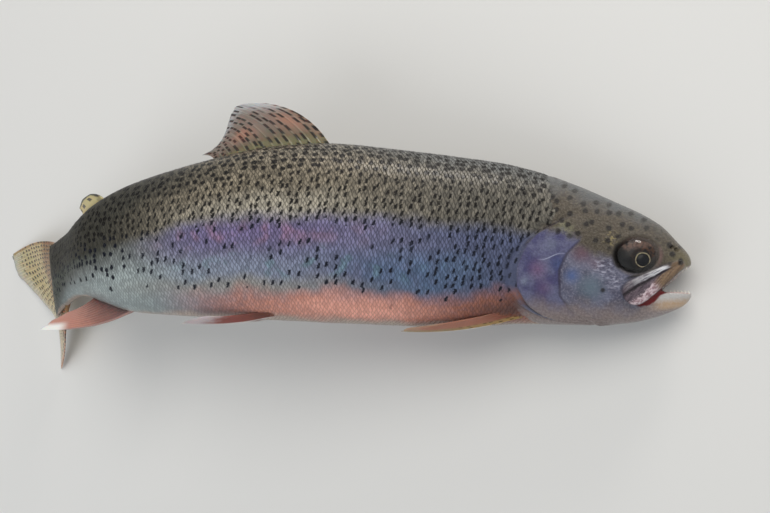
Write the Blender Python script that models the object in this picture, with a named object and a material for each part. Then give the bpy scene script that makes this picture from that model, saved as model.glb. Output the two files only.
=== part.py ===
"""A rainbow trout, life size and still, lying on its left side with its right side up.

Frame: metres, +Z up, origin under the middle of the fish at the level it rests on. The head points to
+X, the back to +Y and the belly to -Y. The body arches a little, as a fresh trout does when it is laid
down: it rests on its left cheek and on the rim of its tail fin.

A place on the fish is given by three shares of its standard length: s along the bent backbone from the
snout (0) to the base of the tail fin (1), h towards the back, and w out to the right side.
"""

import math

import bmesh
import bpy
import numpy as np
from mathutils import Vector

# Driving dimensions.
STANDARD_LENGTH = 0.282  # snout to the base of the tail fin
CLEARANCE = 0.0003  # between one piece and the next
ROLL = math.radians(1)  # how far the back leans down, so that the fish lies steady
SINK = 0.0008  # how much of the lowest curves is flattened where they touch the ground
SOFT = CLEARANCE / STANDARD_LENGTH  # the same clearance as a share of the length

# Bends of the backbone by share of the length: how steeply it climbs, and how far it turns to the back.
BEND_SHARES = (0.0, 0.15, 0.30, 0.45, 0.60, 0.75, 0.90, 1.05, 1.20)
CLIMB_DEG = (7, 7, 17, 18, 8, -9, -31, -31, 3)
TURN_DEG = (9, 10, 10, 8, 2, 2, -6, -10, -10)
TIP_DEG = 0.35  # how far the whole fish is tipped so that the cheek and the tail touch together

# The body's profile: share of the length, height of the back, depth of the belly, half width.
PROFILE = (
    (0.004, 0.003, 0.047, 0.006),  # snout and chin
    (0.017, 0.012, 0.057, 0.019),  # nostrils
    (0.047, 0.0395, 0.072, 0.031),  # front of the eye
    (0.072, 0.0530, 0.080, 0.039),  # middle of the eye
    (0.099, 0.0637, 0.085, 0.045),  # cheek
    (0.153, 0.0838, 0.090, 0.051),  # front of the gill cover
    (0.204, 0.0985, 0.0935, 0.056),  # rear of the gill cover
    (0.250, 0.1065, 0.100, 0.062),  # shoulder
    (0.307, 0.111, 0.1065, 0.066),
    (0.380, 0.1155, 0.1095, 0.068),
    (0.460, 0.120, 0.111, 0.067),  # front of the back fin
    (0.530, 0.1165, 0.109, 0.063),  # belly fins
    (0.605, 0.107, 0.103, 0.056),  # rear of the back fin
    (0.680, 0.096, 0.096, 0.048),
    (0.750, 0.084, 0.088, 0.040),  # front of the anal fin
    (0.810, 0.070, 0.073, 0.032),
    (0.865, 0.058, 0.059, 0.025),  # fatty fin
    (0.930, 0.050, 0.050, 0.018),  # narrowest part of the tail
    (1.000, 0.052, 0.053, 0.012),  # base of the tail fin
)
SECTION_POWER = 2.25  # 2 makes an elliptical cross-section, more makes it fuller
HEAD_END = 0.2250
TRUNK_PARTING = 0.5200
TAIL_PARTING = 0.8000
BODY_END = 0.9995
WIDEST_ARC = math.radians(130)  # of a cut cross-section, to each side of its crown
ARC_POINTS = 24  # around that arc
FLAT_POINTS = 8  # across the cut

# The open mouth: heights of the palate and of the floor of the mouth, by share of the length.
SNOUT, CHIN = 0.0090, 0.0056  # the tips of the upper and lower jaws
MOUTH_END = 0.074
THROAT_START = 0.0765
PALATE = ((0.0, -0.0080), (0.0145, -0.0110), (0.030, -0.0262), (0.042, -0.0370), (MOUTH_END, -0.0530),
          (THROAT_START, -0.095))
MOUTH_FLOOR = ((0.0, -0.0405), (0.030, -0.0400), (0.042, -0.0430), (0.056, -0.0535), (MOUTH_END, -0.0600))
JAW_NARROWING = 0.86  # the lower jaw's width as a share of the head's
END_ROUNDING = 0.0040  # how far behind its tip a jaw reaches its full section

EYE_PLACE = (0.071, 0.0035)
EYE_RADIUS = 0.0245
EYE_DEPTH = 0.0165
EYE_PROUD = 0.0050  # how far the eye stands out of the head
GILL_PLATE = 0.0040
JAW_PLATE = 0.0036


def smooth(points, x):
    """A curve through (x, y) points that never swings past them."""
    xs, ys = (np.array(column, float) for column in zip(*points))
    step = np.diff(xs)
    slope = np.diff(ys) / step
    tangent = np.zeros_like(ys)
    tangent[0], tangent[-1] = slope[0], slope[-1]
    same_way = slope[:-1] * slope[1:] > 0
    mean = 2 * slope[:-1] * slope[1:] / np.where(same_way, slope[:-1] + slope[1:], 1)
    tangent[1:-1] = np.where(same_way, mean, 0)
    x = np.clip(x, xs[0], xs[-1])
    i = np.clip(np.searchsorted(xs, x, side="right") - 1, 0, len(step) - 1)
    t = (x - xs[i]) / step[i]
    rise = ys[i] * (1 + 2 * t) * (1 - t) ** 2 + ys[i + 1] * t * t * (3 - 2 * t)
    return rise + step[i] * t * (1 - t) * (tangent[i] * (1 - t) - tangent[i + 1] * t)


def backbone():
    """Points and directions (tailward, to the back, to the right side) along the bent backbone."""
    shares = np.linspace(0, 1.2, 481)
    climb = np.radians(smooth(tuple(zip(BEND_SHARES, CLIMB_DEG)), shares) + TIP_DEG)
    turn = np.radians(smooth(tuple(zip(BEND_SHARES, TURN_DEG)), shares))
    tailward = np.stack((-np.cos(climb) * np.cos(turn), np.sin(turn), np.sin(climb) * np.cos(turn)), 1)
    middle = (tailward[1:] + tailward[:-1]) / 2
    points = np.vstack((np.zeros(3), np.cumsum(middle * np.diff(shares)[:, None], 0)))
    across = np.array((0, math.cos(ROLL), -math.sin(ROLL)))
    back = across - tailward * (tailward @ across)[:, None]
    back /= np.linalg.norm(back, axis=1)[:, None]
    return shares, points, tailward, back, np.cross(back, tailward)


SHARES, POINTS, TAILWARD, BACK, RIGHT = backbone()


def along(values, s):
    return np.array([np.interp(s, SHARES, values[:, axis]) for axis in range(3)])


def place(s, h, w):
    """The point in metres for three shares of the length."""
    before = min(s, 0.0)
    share = along(POINTS, s) + along(TAILWARD, 0.0) * before + along(BACK, s) * h + along(RIGHT, s) * w
    return Vector(share * STANDARD_LENGTH)


def profile(s):
    """Centre height, half height and half width of the body's cross-section."""
    top, bottom, half_width = (smooth([(row[0], row[i]) for row in PROFILE], s) for i in (1, 2, 3))
    return (top - bottom) / 2, (top + bottom) / 2, half_width


def section(s, angle):
    """Height and sideways reach of the body's surface, with the angle measured from the back."""
    centre, half_height, half_width = profile(s)
    power = 2 / SECTION_POWER
    up = math.copysign(abs(math.cos(angle)) ** power, math.cos(angle))
    out = math.copysign(abs(math.sin(angle)) ** power, math.sin(angle))
    return centre + half_height * up, half_width * out


def side(s, h):
    """How far the body's surface reaches sideways at a height."""
    centre, half_height, half_width = profile(s)
    level = min(1.0, abs(h - centre) / half_height)
    return half_width * (1 - level**SECTION_POWER) ** (1 / SECTION_POWER)


def material(name, colour, roughness, metallic=0.0):
    finish = bpy.data.materials.new(name)
    finish.use_nodes = True
    shader = finish.node_tree.nodes["Principled BSDF"]
    shader.inputs["Base Color"].default_value = (*colour, 1)
    shader.inputs["Roughness"].default_value = roughness
    shader.inputs["Metallic"].default_value = metallic
    return finish


def add_object(name, mesh_data, finish):
    """A smooth-shaded object from a bmesh, facing outwards."""
    bmesh.ops.recalc_face_normals(mesh_data, faces=mesh_data.faces)
    mesh = bpy.data.meshes.new(name)
    mesh_data.to_mesh(mesh)
    mesh_data.free()
    mesh.materials.append(finish)
    mesh.shade_smooth()
    mesh.set_sharp_from_angle(angle=math.radians(40))
    piece = bpy.data.objects.new(name, mesh)
    bpy.context.scene.collection.objects.link(piece)
    return piece


def loft(name, rings, finish):
    """A closed body through rings of points, with a fan over each end."""
    body = bmesh.new()
    rows = [[body.verts.new(point) for point in ring] for ring in rings]
    count = len(rows[0])
    for row, after in zip(rows, rows[1:]):
        for i in range(count):
            body.faces.new((row[i], row[(i + 1) % count], after[(i + 1) % count], after[i]))
    for row in (rows[0], rows[-1]):
        middle = body.verts.new(sum((corner.co for corner in row), Vector()) / count)
        for i in range(count):
            body.faces.new((row[i], row[(i + 1) % count], middle))
    return add_object(name, body, finish)


def shell(name, outer, inner, finish):
    """A closed plate or fin between two grids of points with the same rows and columns."""
    body = bmesh.new()
    sides = [[[body.verts.new(point) for point in row] for row in grid] for grid in (outer, inner)]
    rows, columns = len(outer), len(outer[0])
    for grid in sides:
        for i in range(rows - 1):
            for j in range(columns - 1):
                body.faces.new((grid[i][j], grid[i][j + 1], grid[i + 1][j + 1], grid[i + 1][j]))
    rim = [(0, j) for j in range(columns)] + [(i, columns - 1) for i in range(1, rows)]
    rim += [(rows - 1, j) for j in range(columns - 2, -1, -1)] + [(i, 0) for i in range(rows - 2, 0, -1)]
    for (i, j), (k, m) in zip(rim, rim[1:] + rim[:1]):
        body.faces.new((sides[0][i][j], sides[0][k][m], sides[1][k][m], sides[1][i][j]))
    return add_object(name, body, finish)


def body_length(name, first, last, count, finish, points=32):
    """A length of the whole body between two shares."""
    rings = []
    for s in np.linspace(first, last, count):
        rings.append([place(s, *section(s, math.tau * i / points)) for i in range(points)])
    return loft(name, rings, finish)


def cut_section(s, cut, keep, narrowing=1.0):
    """The part of the body's cross-section above a level (keep 1) or below it (keep -1), as (h, w)."""
    centre, half_height, half_width = profile(s)
    level = max(-1.0, min(1.0, keep * (cut - centre) / half_height))
    corner = math.acos(math.copysign(abs(level) ** (SECTION_POWER / 2), level))
    flat = corner < WIDEST_ARC
    corner = min(corner, WIDEST_ARC)
    angles = list(np.linspace(-corner, corner, ARC_POINTS))
    spread = np.linspace(0, 1, FLAT_POINTS + 2)[1:-1]
    ring = []
    for angle in angles + [corner + (math.tau - 2 * corner) * share for share in spread]:
        h, w = section(s, angle)
        ring.append([centre + keep * (h - centre), w])
    edge = ring[ARC_POINTS - 1][1]
    for point, share in zip(ring[ARC_POINTS:], spread):
        point[0] = max(point[0] * keep, cut * keep) * keep
        point[1] = edge * (1 - 2 * share) if flat else point[1]
    return [(h, w * narrowing) for h, w in ring]


def eye_shape(name, right, swell, finish):
    """One eyeball, a flattened sphere set in the side of the head; swell makes it larger all round."""
    s, h = EYE_PLACE
    out = 1 if right else -1
    w = out * (side(s, h) + EYE_PROUD - EYE_DEPTH)
    axes = [along(values, s) for values in (TAILWARD, BACK, RIGHT)]
    ball = bmesh.new()
    bmesh.ops.create_uvsphere(ball, u_segments=18, v_segments=10, radius=1)
    radius = EYE_RADIUS * STANDARD_LENGTH + swell
    depth = EYE_DEPTH * STANDARD_LENGTH + swell
    centre = place(s, h, w)
    for corner in ball.verts:
        x, y, z = corner.co
        corner.co = centre + Vector(axes[0] * x * radius + axes[1] * y * radius + axes[2] * z * depth)
    return add_object(name, ball, finish)


def cut(piece, cutter):
    cutter.hide_render = True
    cutter.display_type = "WIRE"
    socket = piece.modifiers.new("socket", "BOOLEAN")
    socket.operation = "DIFFERENCE"
    socket.solver = "EXACT"
    socket.object = cutter


def blunt_end(ring):
    """Two rings that round off the front of a jaw, ahead of its first ring."""
    middle = sum(ring, Vector()) / len(ring)
    ahead = Vector(along(TAILWARD, 0.0)) * -END_ROUNDING * STANDARD_LENGTH
    return [[middle + (point - middle) * size + ahead * reach for point in ring]
            for size, reach in ((0.45, 1.0), (0.80, 0.65))]


def head():
    finish = material("olive_head", (0.16, 0.13, 0.09), 0.35)
    over_mouth = np.linspace(SNOUT + END_ROUNDING, MOUTH_END, 12)
    behind_mouth = np.linspace(THROAT_START, HEAD_END, 13)
    rings = [[place(s, h, w) for h, w in cut_section(s, float(smooth(PALATE, s)), 1)]
             for s in (*over_mouth, *behind_mouth)]
    rings[0:0] = blunt_end(rings[0])
    piece = loft("head", rings, finish)
    for right, name in ((True, "socket_right"), (False, "socket_left")):
        cut(piece, eye_shape(name, right, CLEARANCE, finish))


def lower_jaw():
    finish = material("pale_jaw", (0.55, 0.42, 0.36), 0.35)
    rings = [[place(s, h, w) for h, w in cut_section(s, float(smooth(MOUTH_FLOOR, s)), -1, JAW_NARROWING)]
             for s in np.linspace(CHIN + END_ROUNDING, MOUTH_END - 2 * SOFT / 3, 9)]
    loft("lower_jaw", blunt_end(rings[0]) + rings, finish)


def tongue():
    """The tongue lies on the floor of the mouth, free of the palate."""
    finish = material("red_tongue", (0.50, 0.10, 0.09), 0.30)
    first, last, width, thickness = 0.030, 0.066, 0.010, 0.0048
    rings = []
    for s in np.linspace(first, last, 6):
        swell = 0.55 + 0.45 * math.sin(math.pi * (s - first) / (last - first))
        floor = float(smooth(MOUTH_FLOOR, s)) + SOFT
        ring = []
        for i in range(12):
            angle = math.tau * i / 12
            lift = thickness * swell * (0.5 + 0.5 * math.cos(angle))
            ring.append(place(s, floor + lift, width * swell * math.sin(angle)))
        rings.append(ring)
    loft("tongue", rings, finish)


def maxilla(name, out):
    """The upper jaw's side plate, which hangs over the corner of the open mouth."""
    finish = material(name + "_silver", (0.55, 0.52, 0.50), 0.25, 0.3)
    upper = ((0.0, 0.020, -0.003), (0.35, 0.037, -0.009), (0.7, 0.060, -0.021), (1.0, 0.083, -0.037))
    lower = ((0.0, 0.014, -0.009), (0.35, 0.030, -0.025), (0.7, 0.048, -0.044), (1.0, 0.071, -0.060))
    grids = ([], [])
    for u in np.linspace(0, 1, 10):
        top, bottom = ([float(smooth([(row[0], row[i]) for row in edge], u)) for i in (1, 2)]
                       for edge in (upper, lower))
        rows = ([], [])
        for v in np.linspace(0, 1, 4):
            s, h = (1 - v) * top[0] + v * bottom[0], (1 - v) * top[1] + v * bottom[1]
            skin = max(side(s, h), 0.93 * profile(s)[2]) + 2 * SOFT
            belly = math.sin(math.pi * v)
            rows[0].append(place(s, h, out * (skin + JAW_PLATE * (0.6 + 0.4 * belly))))
            rows[1].append(place(s, h, out * skin))
        grids[0].append(rows[0])
        grids[1].append(rows[1])
    shell(name, *grids, finish)


def gill_cover(name, out):
    """The bony cover behind the cheek, a curved plate with a rounded rear edge."""
    finish = material(name + "_violet", (0.22, 0.20, 0.38), 0.25, 0.2)
    top, bottom, front, shoulder, sweep = 0.034, -0.080, 0.150, 0.166, 0.058
    grids = ([], [])
    for v in np.linspace(0, 1, 12):
        h = top + (bottom - top) * v
        rear = shoulder + sweep * math.sin(math.pi * v) ** 0.7
        rows = ([], [])
        for s in np.linspace(front, rear, 8):
            skin = side(s, h) + 1.6 * SOFT
            lean = (h - profile(s)[0]) / profile(s)[1]
            rows[0].append(place(s, h + 0.5 * GILL_PLATE * lean, out * (skin + GILL_PLATE)))
            rows[1].append(place(s, h, out * skin))
        grids[0].append(rows[0])
        grids[1].append(rows[1])
    shell(name, *grids, finish)


def trunk():
    back = material("olive_back", (0.18, 0.16, 0.10), 0.35)
    rear = material("violet_flank", (0.30, 0.25, 0.32), 0.30)
    tail = material("silver_flank", (0.40, 0.43, 0.40), 0.30)
    body_length("trunk_front", HEAD_END + 5 * SOFT / 4, TRUNK_PARTING, 16, back)
    body_length("trunk_rear", TRUNK_PARTING + 5 * SOFT / 4, TAIL_PARTING, 14, rear)
    body_length("tail_stalk", TAIL_PARTING + 5 * SOFT / 4, BODY_END, 12, tail, 28)


def fin(name, finish, roots, bends, tips, rays, steps, thick):
    """A fin of curved rays. Each edge is a list of (u, s, h, w), from the first ray to the last.

    A ray starts at its root, leans towards its bend and ends at its tip; thick gives the fin's
    thickness at the root and at the tip, in metres.
    """
    middle = []
    for u in np.linspace(0, 1, rays):
        root, bend, tip = (
            np.array(place(*[float(smooth([(row[0], row[i]) for row in edge], u)) for i in (1, 2, 3)]))
            for edge in (roots, bends, tips)
        )
        row = [root * (1 - v) ** 2 + 2 * bend * v * (1 - v) + tip * v * v for v in np.linspace(0, 1, steps)]
        middle.append(row)
    middle = np.array(middle)
    along_rays = np.gradient(middle, axis=1)
    across_rays = np.gradient(middle, axis=0)
    normals = np.cross(across_rays, along_rays)
    normals /= np.linalg.norm(normals, axis=2)[:, :, None]
    half = (thick[0] + (thick[1] - thick[0]) * np.linspace(0, 1, steps) ** 0.6) / 2
    offset = normals * half[None, :, None]
    grids = [[[Vector(point) for point in row] for row in grid]
             for grid in (middle + offset, middle - offset)]
    return shell(name, *grids, finish)


def back_line(s):
    return profile(s)[0] + profile(s)[1]


def belly_line(s):
    return profile(s)[0] - profile(s)[1]


def dorsal_fin():
    front, rear, lift = 0.463, 0.606, 2 * SOFT
    roots = [(u, front + (rear - front) * u, back_line(front + (rear - front) * u) + lift, 0)
             for u in (0, 0.25, 0.5, 0.75, 1)]
    bends = ((0, 0.4914, 0.1684, 0), (0.5, 0.560, 0.156, 0), (1, 0.612, 0.114, 0))
    tips = ((0, 0.5441, 0.1747, 0), (0.15, 0.5613, 0.1763, 0), (0.28, 0.5755, 0.1740, 0),
            (0.37, 0.5815, 0.1690, 0), (0.5, 0.5868, 0.1560, 0), (0.75, 0.5975, 0.1320, 0),
            (0.9, 0.612, 0.1195, 0), (1, 0.629, 0.1133, 0))
    finish = material("grey_olive_fin", (0.30, 0.27, 0.20), 0.40)
    fin("dorsal_fin", finish, roots, bends, tips, 16, 8, (0.0016, 0.0006))


def adipose_fin():
    front, rear, lift = 0.802, 0.860, 2.5 * SOFT
    roots = [(u, front + (rear - front) * u, back_line(front + (rear - front) * u) + lift, 0)
             for u in (0, 0.5, 1)]
    bends = ((0, 0.814, 0.0845, 0), (1, 0.868, 0.0670, 0))
    tips = ((0, 0.840, 0.0862, 0), (0.5, 0.864, 0.0840, 0), (1, 0.878, 0.0745, 0))
    finish = material("yellow_olive_fin", (0.40, 0.34, 0.14), 0.40)
    fin("adipose_fin", finish, roots, bends, tips, 7, 6, (0.0022, 0.0009))


def caudal_fin():
    """The tail fin is a little twisted: its upper lobe curls and its lower lobe hangs."""
    roots = ((0, 1.0015, 0.049, 0), (0.5, 1.0030, 0, 0), (1, 1.0015, -0.050, 0))
    bends = ((0, 1.060, 0.085, 0.002), (0.5, 1.058, 0.000, 0), (1, 1.006, -0.094, -0.004))
    tips = ((0, 1.163, 0.077, 0.003), (0.25, 1.157, 0.045, 0.003), (0.375, 1.136, 0.018, 0.002),
            (0.5, 1.106, -0.012, 0), (0.75, 1.077, -0.060, -0.0105), (1, 1.112, -0.131, -0.0215))
    finish = material("yellow_tail_fin", (0.45, 0.38, 0.20), 0.40)
    fin("caudal_fin", finish, roots, bends, tips, 20, 9, (0.0034, 0.0007))


def anal_fin():
    """Its rays are pushed out to the right side, away from the tail."""
    front, rear, lift = 0.748, 0.842, 3 * SOFT
    roots = [(u, front + (rear - front) * u, belly_line(front + (rear - front) * u) - lift, 0)
             for u in (0, 0.5, 1)]
    bends = ((0, 0.786, -0.112, 0.026), (1, 0.852, -0.073, 0.012))
    tips = ((0, 0.864, -0.101, 0.082), (0.4, 0.860, -0.092, 0.068), (1, 0.866, -0.080, 0.040))
    finish = material("pink_brown_fin", (0.45, 0.24, 0.18), 0.40)
    fin("anal_fin", finish, roots, bends, tips, 12, 8, (0.0016, 0.0006))


def pectoral_fin(name, out):
    roots = ((0, 0.206, -0.0845, 0.033 * out), (1, 0.221, -0.0800, 0.040 * out))
    bends = ((0, 0.265, -0.1120, 0.028 * out), (1, 0.275, -0.0960, 0.041 * out))
    tips = ((0, 0.358, -0.1155, 0.018 * out), (0.4, 0.350, -0.111, 0.028 * out),
            (1, 0.318, -0.104, 0.035 * out))
    finish = material(name + "_orange", (0.62, 0.28, 0.14), 0.40)
    fin(name, finish, roots, bends, tips, 10, 8, (0.0014, 0.0006))


def pelvic_fin(name, out):
    roots = ((0, 0.522, -0.1050, 0.027 * out), (1, 0.540, -0.1005, 0.033 * out))
    bends = ((0, 0.575, -0.1160, 0.025 * out), (1, 0.585, -0.1040, 0.037 * out))
    tips = ((0, 0.652, -0.1065, 0.033 * out), (0.5, 0.640, -0.103, 0.037 * out),
            (1, 0.612, -0.099, 0.039 * out))
    finish = material(name + "_red", (0.55, 0.25, 0.18), 0.40)
    fin(name, finish, roots, bends, tips, 9, 7, (0.0013, 0.0006))


def set_on_the_ground():
    """Moves every piece so that the origin lies under the middle, and flattens what touches the ground."""
    pieces = [piece for piece in bpy.context.scene.collection.objects if piece.type == "MESH"]
    corners = np.array([corner.co for piece in pieces if not piece.hide_render
                        for corner in piece.data.vertices])
    low, high = corners.min(0), corners.max(0)
    shift = Vector((-(low[0] + high[0]) / 2, -(low[1] + high[1]) / 2, -low[2] - SINK))
    for piece in pieces:
        for corner in piece.data.vertices:
            corner.co += shift
            corner.co.z = max(corner.co.z, 0.0)


def main():
    for leftover in list(bpy.data.objects):
        bpy.data.objects.remove(leftover)
    head()
    lower_jaw()
    tongue()
    trunk()
    for right, word in ((True, "right"), (False, "left")):
        out = 1 if right else -1
        eye_shape("eye_" + word, right, 0, material("eye_" + word + "_dark", (0.03, 0.02, 0.015), 0.1))
        maxilla("maxilla_" + word, out)
        gill_cover("gill_cover_" + word, out)
        pectoral_fin("pectoral_fin_" + word, out)
        pelvic_fin("pelvic_fin_" + word, out)
    dorsal_fin()
    adipose_fin()
    caudal_fin()
    anal_fin()
    set_on_the_ground()


main()
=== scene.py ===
"""The looks of a life-size rainbow trout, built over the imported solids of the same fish.

A place on the fish is given by shares of its standard length, as in the solids: s along the bent
backbone from the snout to the base of the tail fin, h towards the back, w out to the right side.
Another pair of coordinates covers the hide: millimetres along the fish, and millimetres of girth above
or below the middle of the side. Scales are laid out in them, and the markings are painted in them.
"""

import math

import bpy
import numpy as np
from mathutils import Matrix, Vector

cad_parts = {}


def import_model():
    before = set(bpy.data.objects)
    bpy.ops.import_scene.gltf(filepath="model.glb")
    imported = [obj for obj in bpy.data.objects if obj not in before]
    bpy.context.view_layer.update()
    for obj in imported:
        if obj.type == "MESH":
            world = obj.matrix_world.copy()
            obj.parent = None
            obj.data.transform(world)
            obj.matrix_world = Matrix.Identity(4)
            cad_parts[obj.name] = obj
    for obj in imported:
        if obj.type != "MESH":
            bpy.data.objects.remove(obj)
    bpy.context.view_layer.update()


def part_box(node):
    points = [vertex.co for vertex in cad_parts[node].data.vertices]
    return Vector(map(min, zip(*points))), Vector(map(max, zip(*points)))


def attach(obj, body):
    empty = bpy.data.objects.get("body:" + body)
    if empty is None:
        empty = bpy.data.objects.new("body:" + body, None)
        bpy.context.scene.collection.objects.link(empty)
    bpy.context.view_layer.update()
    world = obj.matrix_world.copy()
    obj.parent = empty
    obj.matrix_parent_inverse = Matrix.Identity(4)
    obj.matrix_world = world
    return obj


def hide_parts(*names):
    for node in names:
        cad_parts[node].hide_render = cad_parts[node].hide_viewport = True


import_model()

# The fish's measures, as in the solids.
LENGTH = 0.282  # snout to the base of the tail fin, in metres
MM = 0.001 / LENGTH  # a millimetre as a share of the length
ROLL = math.radians(1)
BEND_SHARES = (0.0, 0.15, 0.30, 0.45, 0.60, 0.75, 0.90, 1.05, 1.20)
CLIMB_DEG = (7, 7, 17, 18, 8, -9, -31, -31, 3)
TURN_DEG = (9, 10, 10, 8, 2, 2, -6, -10, -10)
TIP_DEG = 0.35
PROFILE = (  # share of the length, height of the back, depth of the belly, half width
    (0.004, 0.003, 0.047, 0.006),
    (0.017, 0.012, 0.057, 0.019),
    (0.047, 0.0395, 0.072, 0.031),
    (0.072, 0.0530, 0.080, 0.039),
    (0.099, 0.0637, 0.085, 0.045),
    (0.153, 0.0838, 0.090, 0.051),
    (0.204, 0.0985, 0.0935, 0.056),
    (0.250, 0.1065, 0.100, 0.062),
    (0.307, 0.111, 0.1065, 0.066),
    (0.380, 0.1155, 0.1095, 0.068),
    (0.460, 0.120, 0.111, 0.067),
    (0.530, 0.1165, 0.109, 0.063),
    (0.605, 0.107, 0.103, 0.056),
    (0.680, 0.096, 0.096, 0.048),
    (0.750, 0.084, 0.088, 0.040),
    (0.810, 0.070, 0.073, 0.032),
    (0.865, 0.058, 0.059, 0.025),
    (0.930, 0.050, 0.050, 0.018),
    (1.000, 0.052, 0.053, 0.012),
    (1.020, 0.0555, 0.0565, 0.0068),  # the flesh runs out over the rays of the tail fin
    (1.034, 0.0600, 0.0610, 0.0030),
)
POWER = 2.25  # 2 makes an elliptical cross-section, more makes it fuller
SNOUT, CHIN = 0.0090, 0.0056  # how far back the tips of the upper and lower jaws stand
EYE_PLACE = (0.071, 0.0035)  # share and height of the eyeball's middle
EYE_DEPTH = 0.0165  # how thick the eyeball is, sideways
EYE_PROUD = 0.0050  # how far it stands out of the head

# The mouth: where the slit between the lips ends, and the heights of its roof and its floor.
MOUTH_END = 0.066
PALATE = ((0.0, -0.0080), (0.0100, -0.0085), (0.0145, -0.0110), (0.0220, -0.0175), (0.0300, -0.0262),
          (0.0420, -0.0370), (0.0560, -0.0445), (0.0700, -0.0520), (0.115, -0.0640))
MOUTH_FLOOR = ((0.0, -0.0405), (0.0120, -0.0392), (0.0300, -0.0395), (0.0400, -0.0420), (0.0480, -0.0490),
               (0.0560, -0.0548), (0.0700, -0.0595), (0.115, -0.0660))

# Edges on the head, as the angle round the girth from the back in degrees, and the share of the length.
GILL_EDGE = ((50, 0.128), (62, 0.150), (72, 0.166), (82, 0.188), (92, 0.204), (103, 0.2115), (117, 0.2105),
             (135, 0.194), (146, 0.177), (158, 0.148), (169, 0.122), (180, 0.106))
FLAP_EDGE = ((50, 0.130), (62, 0.153), (72, 0.171), (82, 0.194), (92, 0.2125), (103, 0.222), (117, 0.223),
             (135, 0.207), (146, 0.188), (158, 0.158), (169, 0.128), (180, 0.108))
SCALES_START = ((0, 0.186), (40, 0.178), (62, 0.166), (72, 0.1775), (82, 0.199), (92, 0.217), (103, 0.227),
                (117, 0.229), (135, 0.216), (150, 0.204), (165, 0.190), (180, 0.180))
# The crease before the gill cover, as the height and the share of the length.
CHEEK_LINE = ((-0.100, 0.100), (-0.084, 0.118), (-0.074, 0.140), (-0.054, 0.1555), (-0.024, 0.158),
              (-0.003, 0.150), (0.012, 0.138), (0.030, 0.128))
SKIN_DEPTH = 0.06 * MM  # how far the skin lies under the outline
SCALE_DEPTH = 0.32 * MM  # how much deeper it lies where scales grow, to leave room for them


# ---------------------------------------------------------------- the shape of the fish


def smooth(points, x):
    """A curve through (x, y) points that never swings past them."""
    xs, ys = (np.array(column, float) for column in zip(*points))
    step = np.diff(xs)
    slope = np.diff(ys) / step
    tangent = np.zeros_like(ys)
    tangent[0], tangent[-1] = slope[0], slope[-1]
    same_way = slope[:-1] * slope[1:] > 0
    mean = 2 * slope[:-1] * slope[1:] / np.where(same_way, slope[:-1] + slope[1:], 1)
    tangent[1:-1] = np.where(same_way, mean, 0)
    x = np.clip(x, xs[0], xs[-1])
    i = np.clip(np.searchsorted(xs, x, side="right") - 1, 0, len(step) - 1)
    t = (x - xs[i]) / step[i]
    rise = ys[i] * (1 + 2 * t) * (1 - t) ** 2 + ys[i + 1] * t * t * (3 - 2 * t)
    return rise + step[i] * t * (1 - t) * (tangent[i] * (1 - t) - tangent[i + 1] * t)


def backbone():
    """Points along the bent backbone, and the ways to the back and to the right side there."""
    shares = np.linspace(0, 1.2, 481)
    climb = np.radians(smooth(tuple(zip(BEND_SHARES, CLIMB_DEG)), shares) + TIP_DEG)
    turn = np.radians(smooth(tuple(zip(BEND_SHARES, TURN_DEG)), shares))
    tailward = np.stack((-np.cos(climb) * np.cos(turn), np.sin(turn), np.sin(climb) * np.cos(turn)), 1)
    middle = (tailward[1:] + tailward[:-1]) / 2
    points = np.vstack((np.zeros(3), np.cumsum(middle * np.diff(shares)[:, None], 0)))
    across = np.array((0, math.cos(ROLL), -math.sin(ROLL)))
    back = across - tailward * (tailward @ across)[:, None]
    back /= np.linalg.norm(back, axis=1)[:, None]
    return shares, points, back, np.cross(back, tailward)


SHARES, POINTS, BACK, RIGHT = backbone()


def along(values, s):
    """Rows of values read at the shares s."""
    return np.stack([np.interp(s, SHARES, values[:, axis]) for axis in range(3)], -1)


def unshifted(s, h, w):
    """Points in metres from the snout, for arrays of shares."""
    s, h, w = np.broadcast_arrays(s, h, w)
    share = along(POINTS, s) + along(BACK, s) * h[..., None] + along(RIGHT, s) * w[..., None]
    return share * LENGTH


def profile(s):
    """Centre height, half height and half width of the body's cross-section."""
    top, bottom, half_width = (smooth([(row[0], row[i]) for row in PROFILE], s) for i in (1, 2, 3))
    return (top - bottom) / 2, (top + bottom) / 2, half_width


def side(s, h):
    """How far the body's surface reaches sideways at a height."""
    centre, tall, wide = profile(s)
    level = np.minimum(1.0, np.abs(h - centre) / tall)
    return wide * (1 - level**POWER) ** (1 / POWER)


def home():
    """What carries the fish's own shares to the frame, read from where the right eye stands in it."""
    s, h = EYE_PLACE
    low, high = (np.array(corner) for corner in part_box("eye_right"))
    return (low + high) / 2 - unshifted(s, h, side(s, h) + EYE_PROUD - EYE_DEPTH)


SHIFT = home()


def world(s, h, w):
    """Points in metres, in the frame, for arrays of shares."""
    return unshifted(s, h, w) + SHIFT


def fade(x, start, end):
    """0 at start, 1 at end, smooth between."""
    t = np.clip((x - start) / (end - start), 0, 1)
    return t * t * (3 - 2 * t)


def bump(x, middle, width):
    """1 at the middle, falling away over the width."""
    return np.exp(-(((x - middle) / width) ** 2))


def both(a, b, rounding):
    """The part inside both fields, with a rounded edge."""
    near = np.maximum(rounding - np.abs(a - b), 0) / rounding
    return np.maximum(a, b) + near * near * rounding / 4


def either(a, b, rounding):
    """The part inside one field or the other, with a filled corner."""
    return -both(-a, -b, rounding)


def table(rows, x):
    """Straight lines through (x, y) rows."""
    return np.interp(x, [row[0] for row in rows], [row[1] for row in rows])


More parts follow.
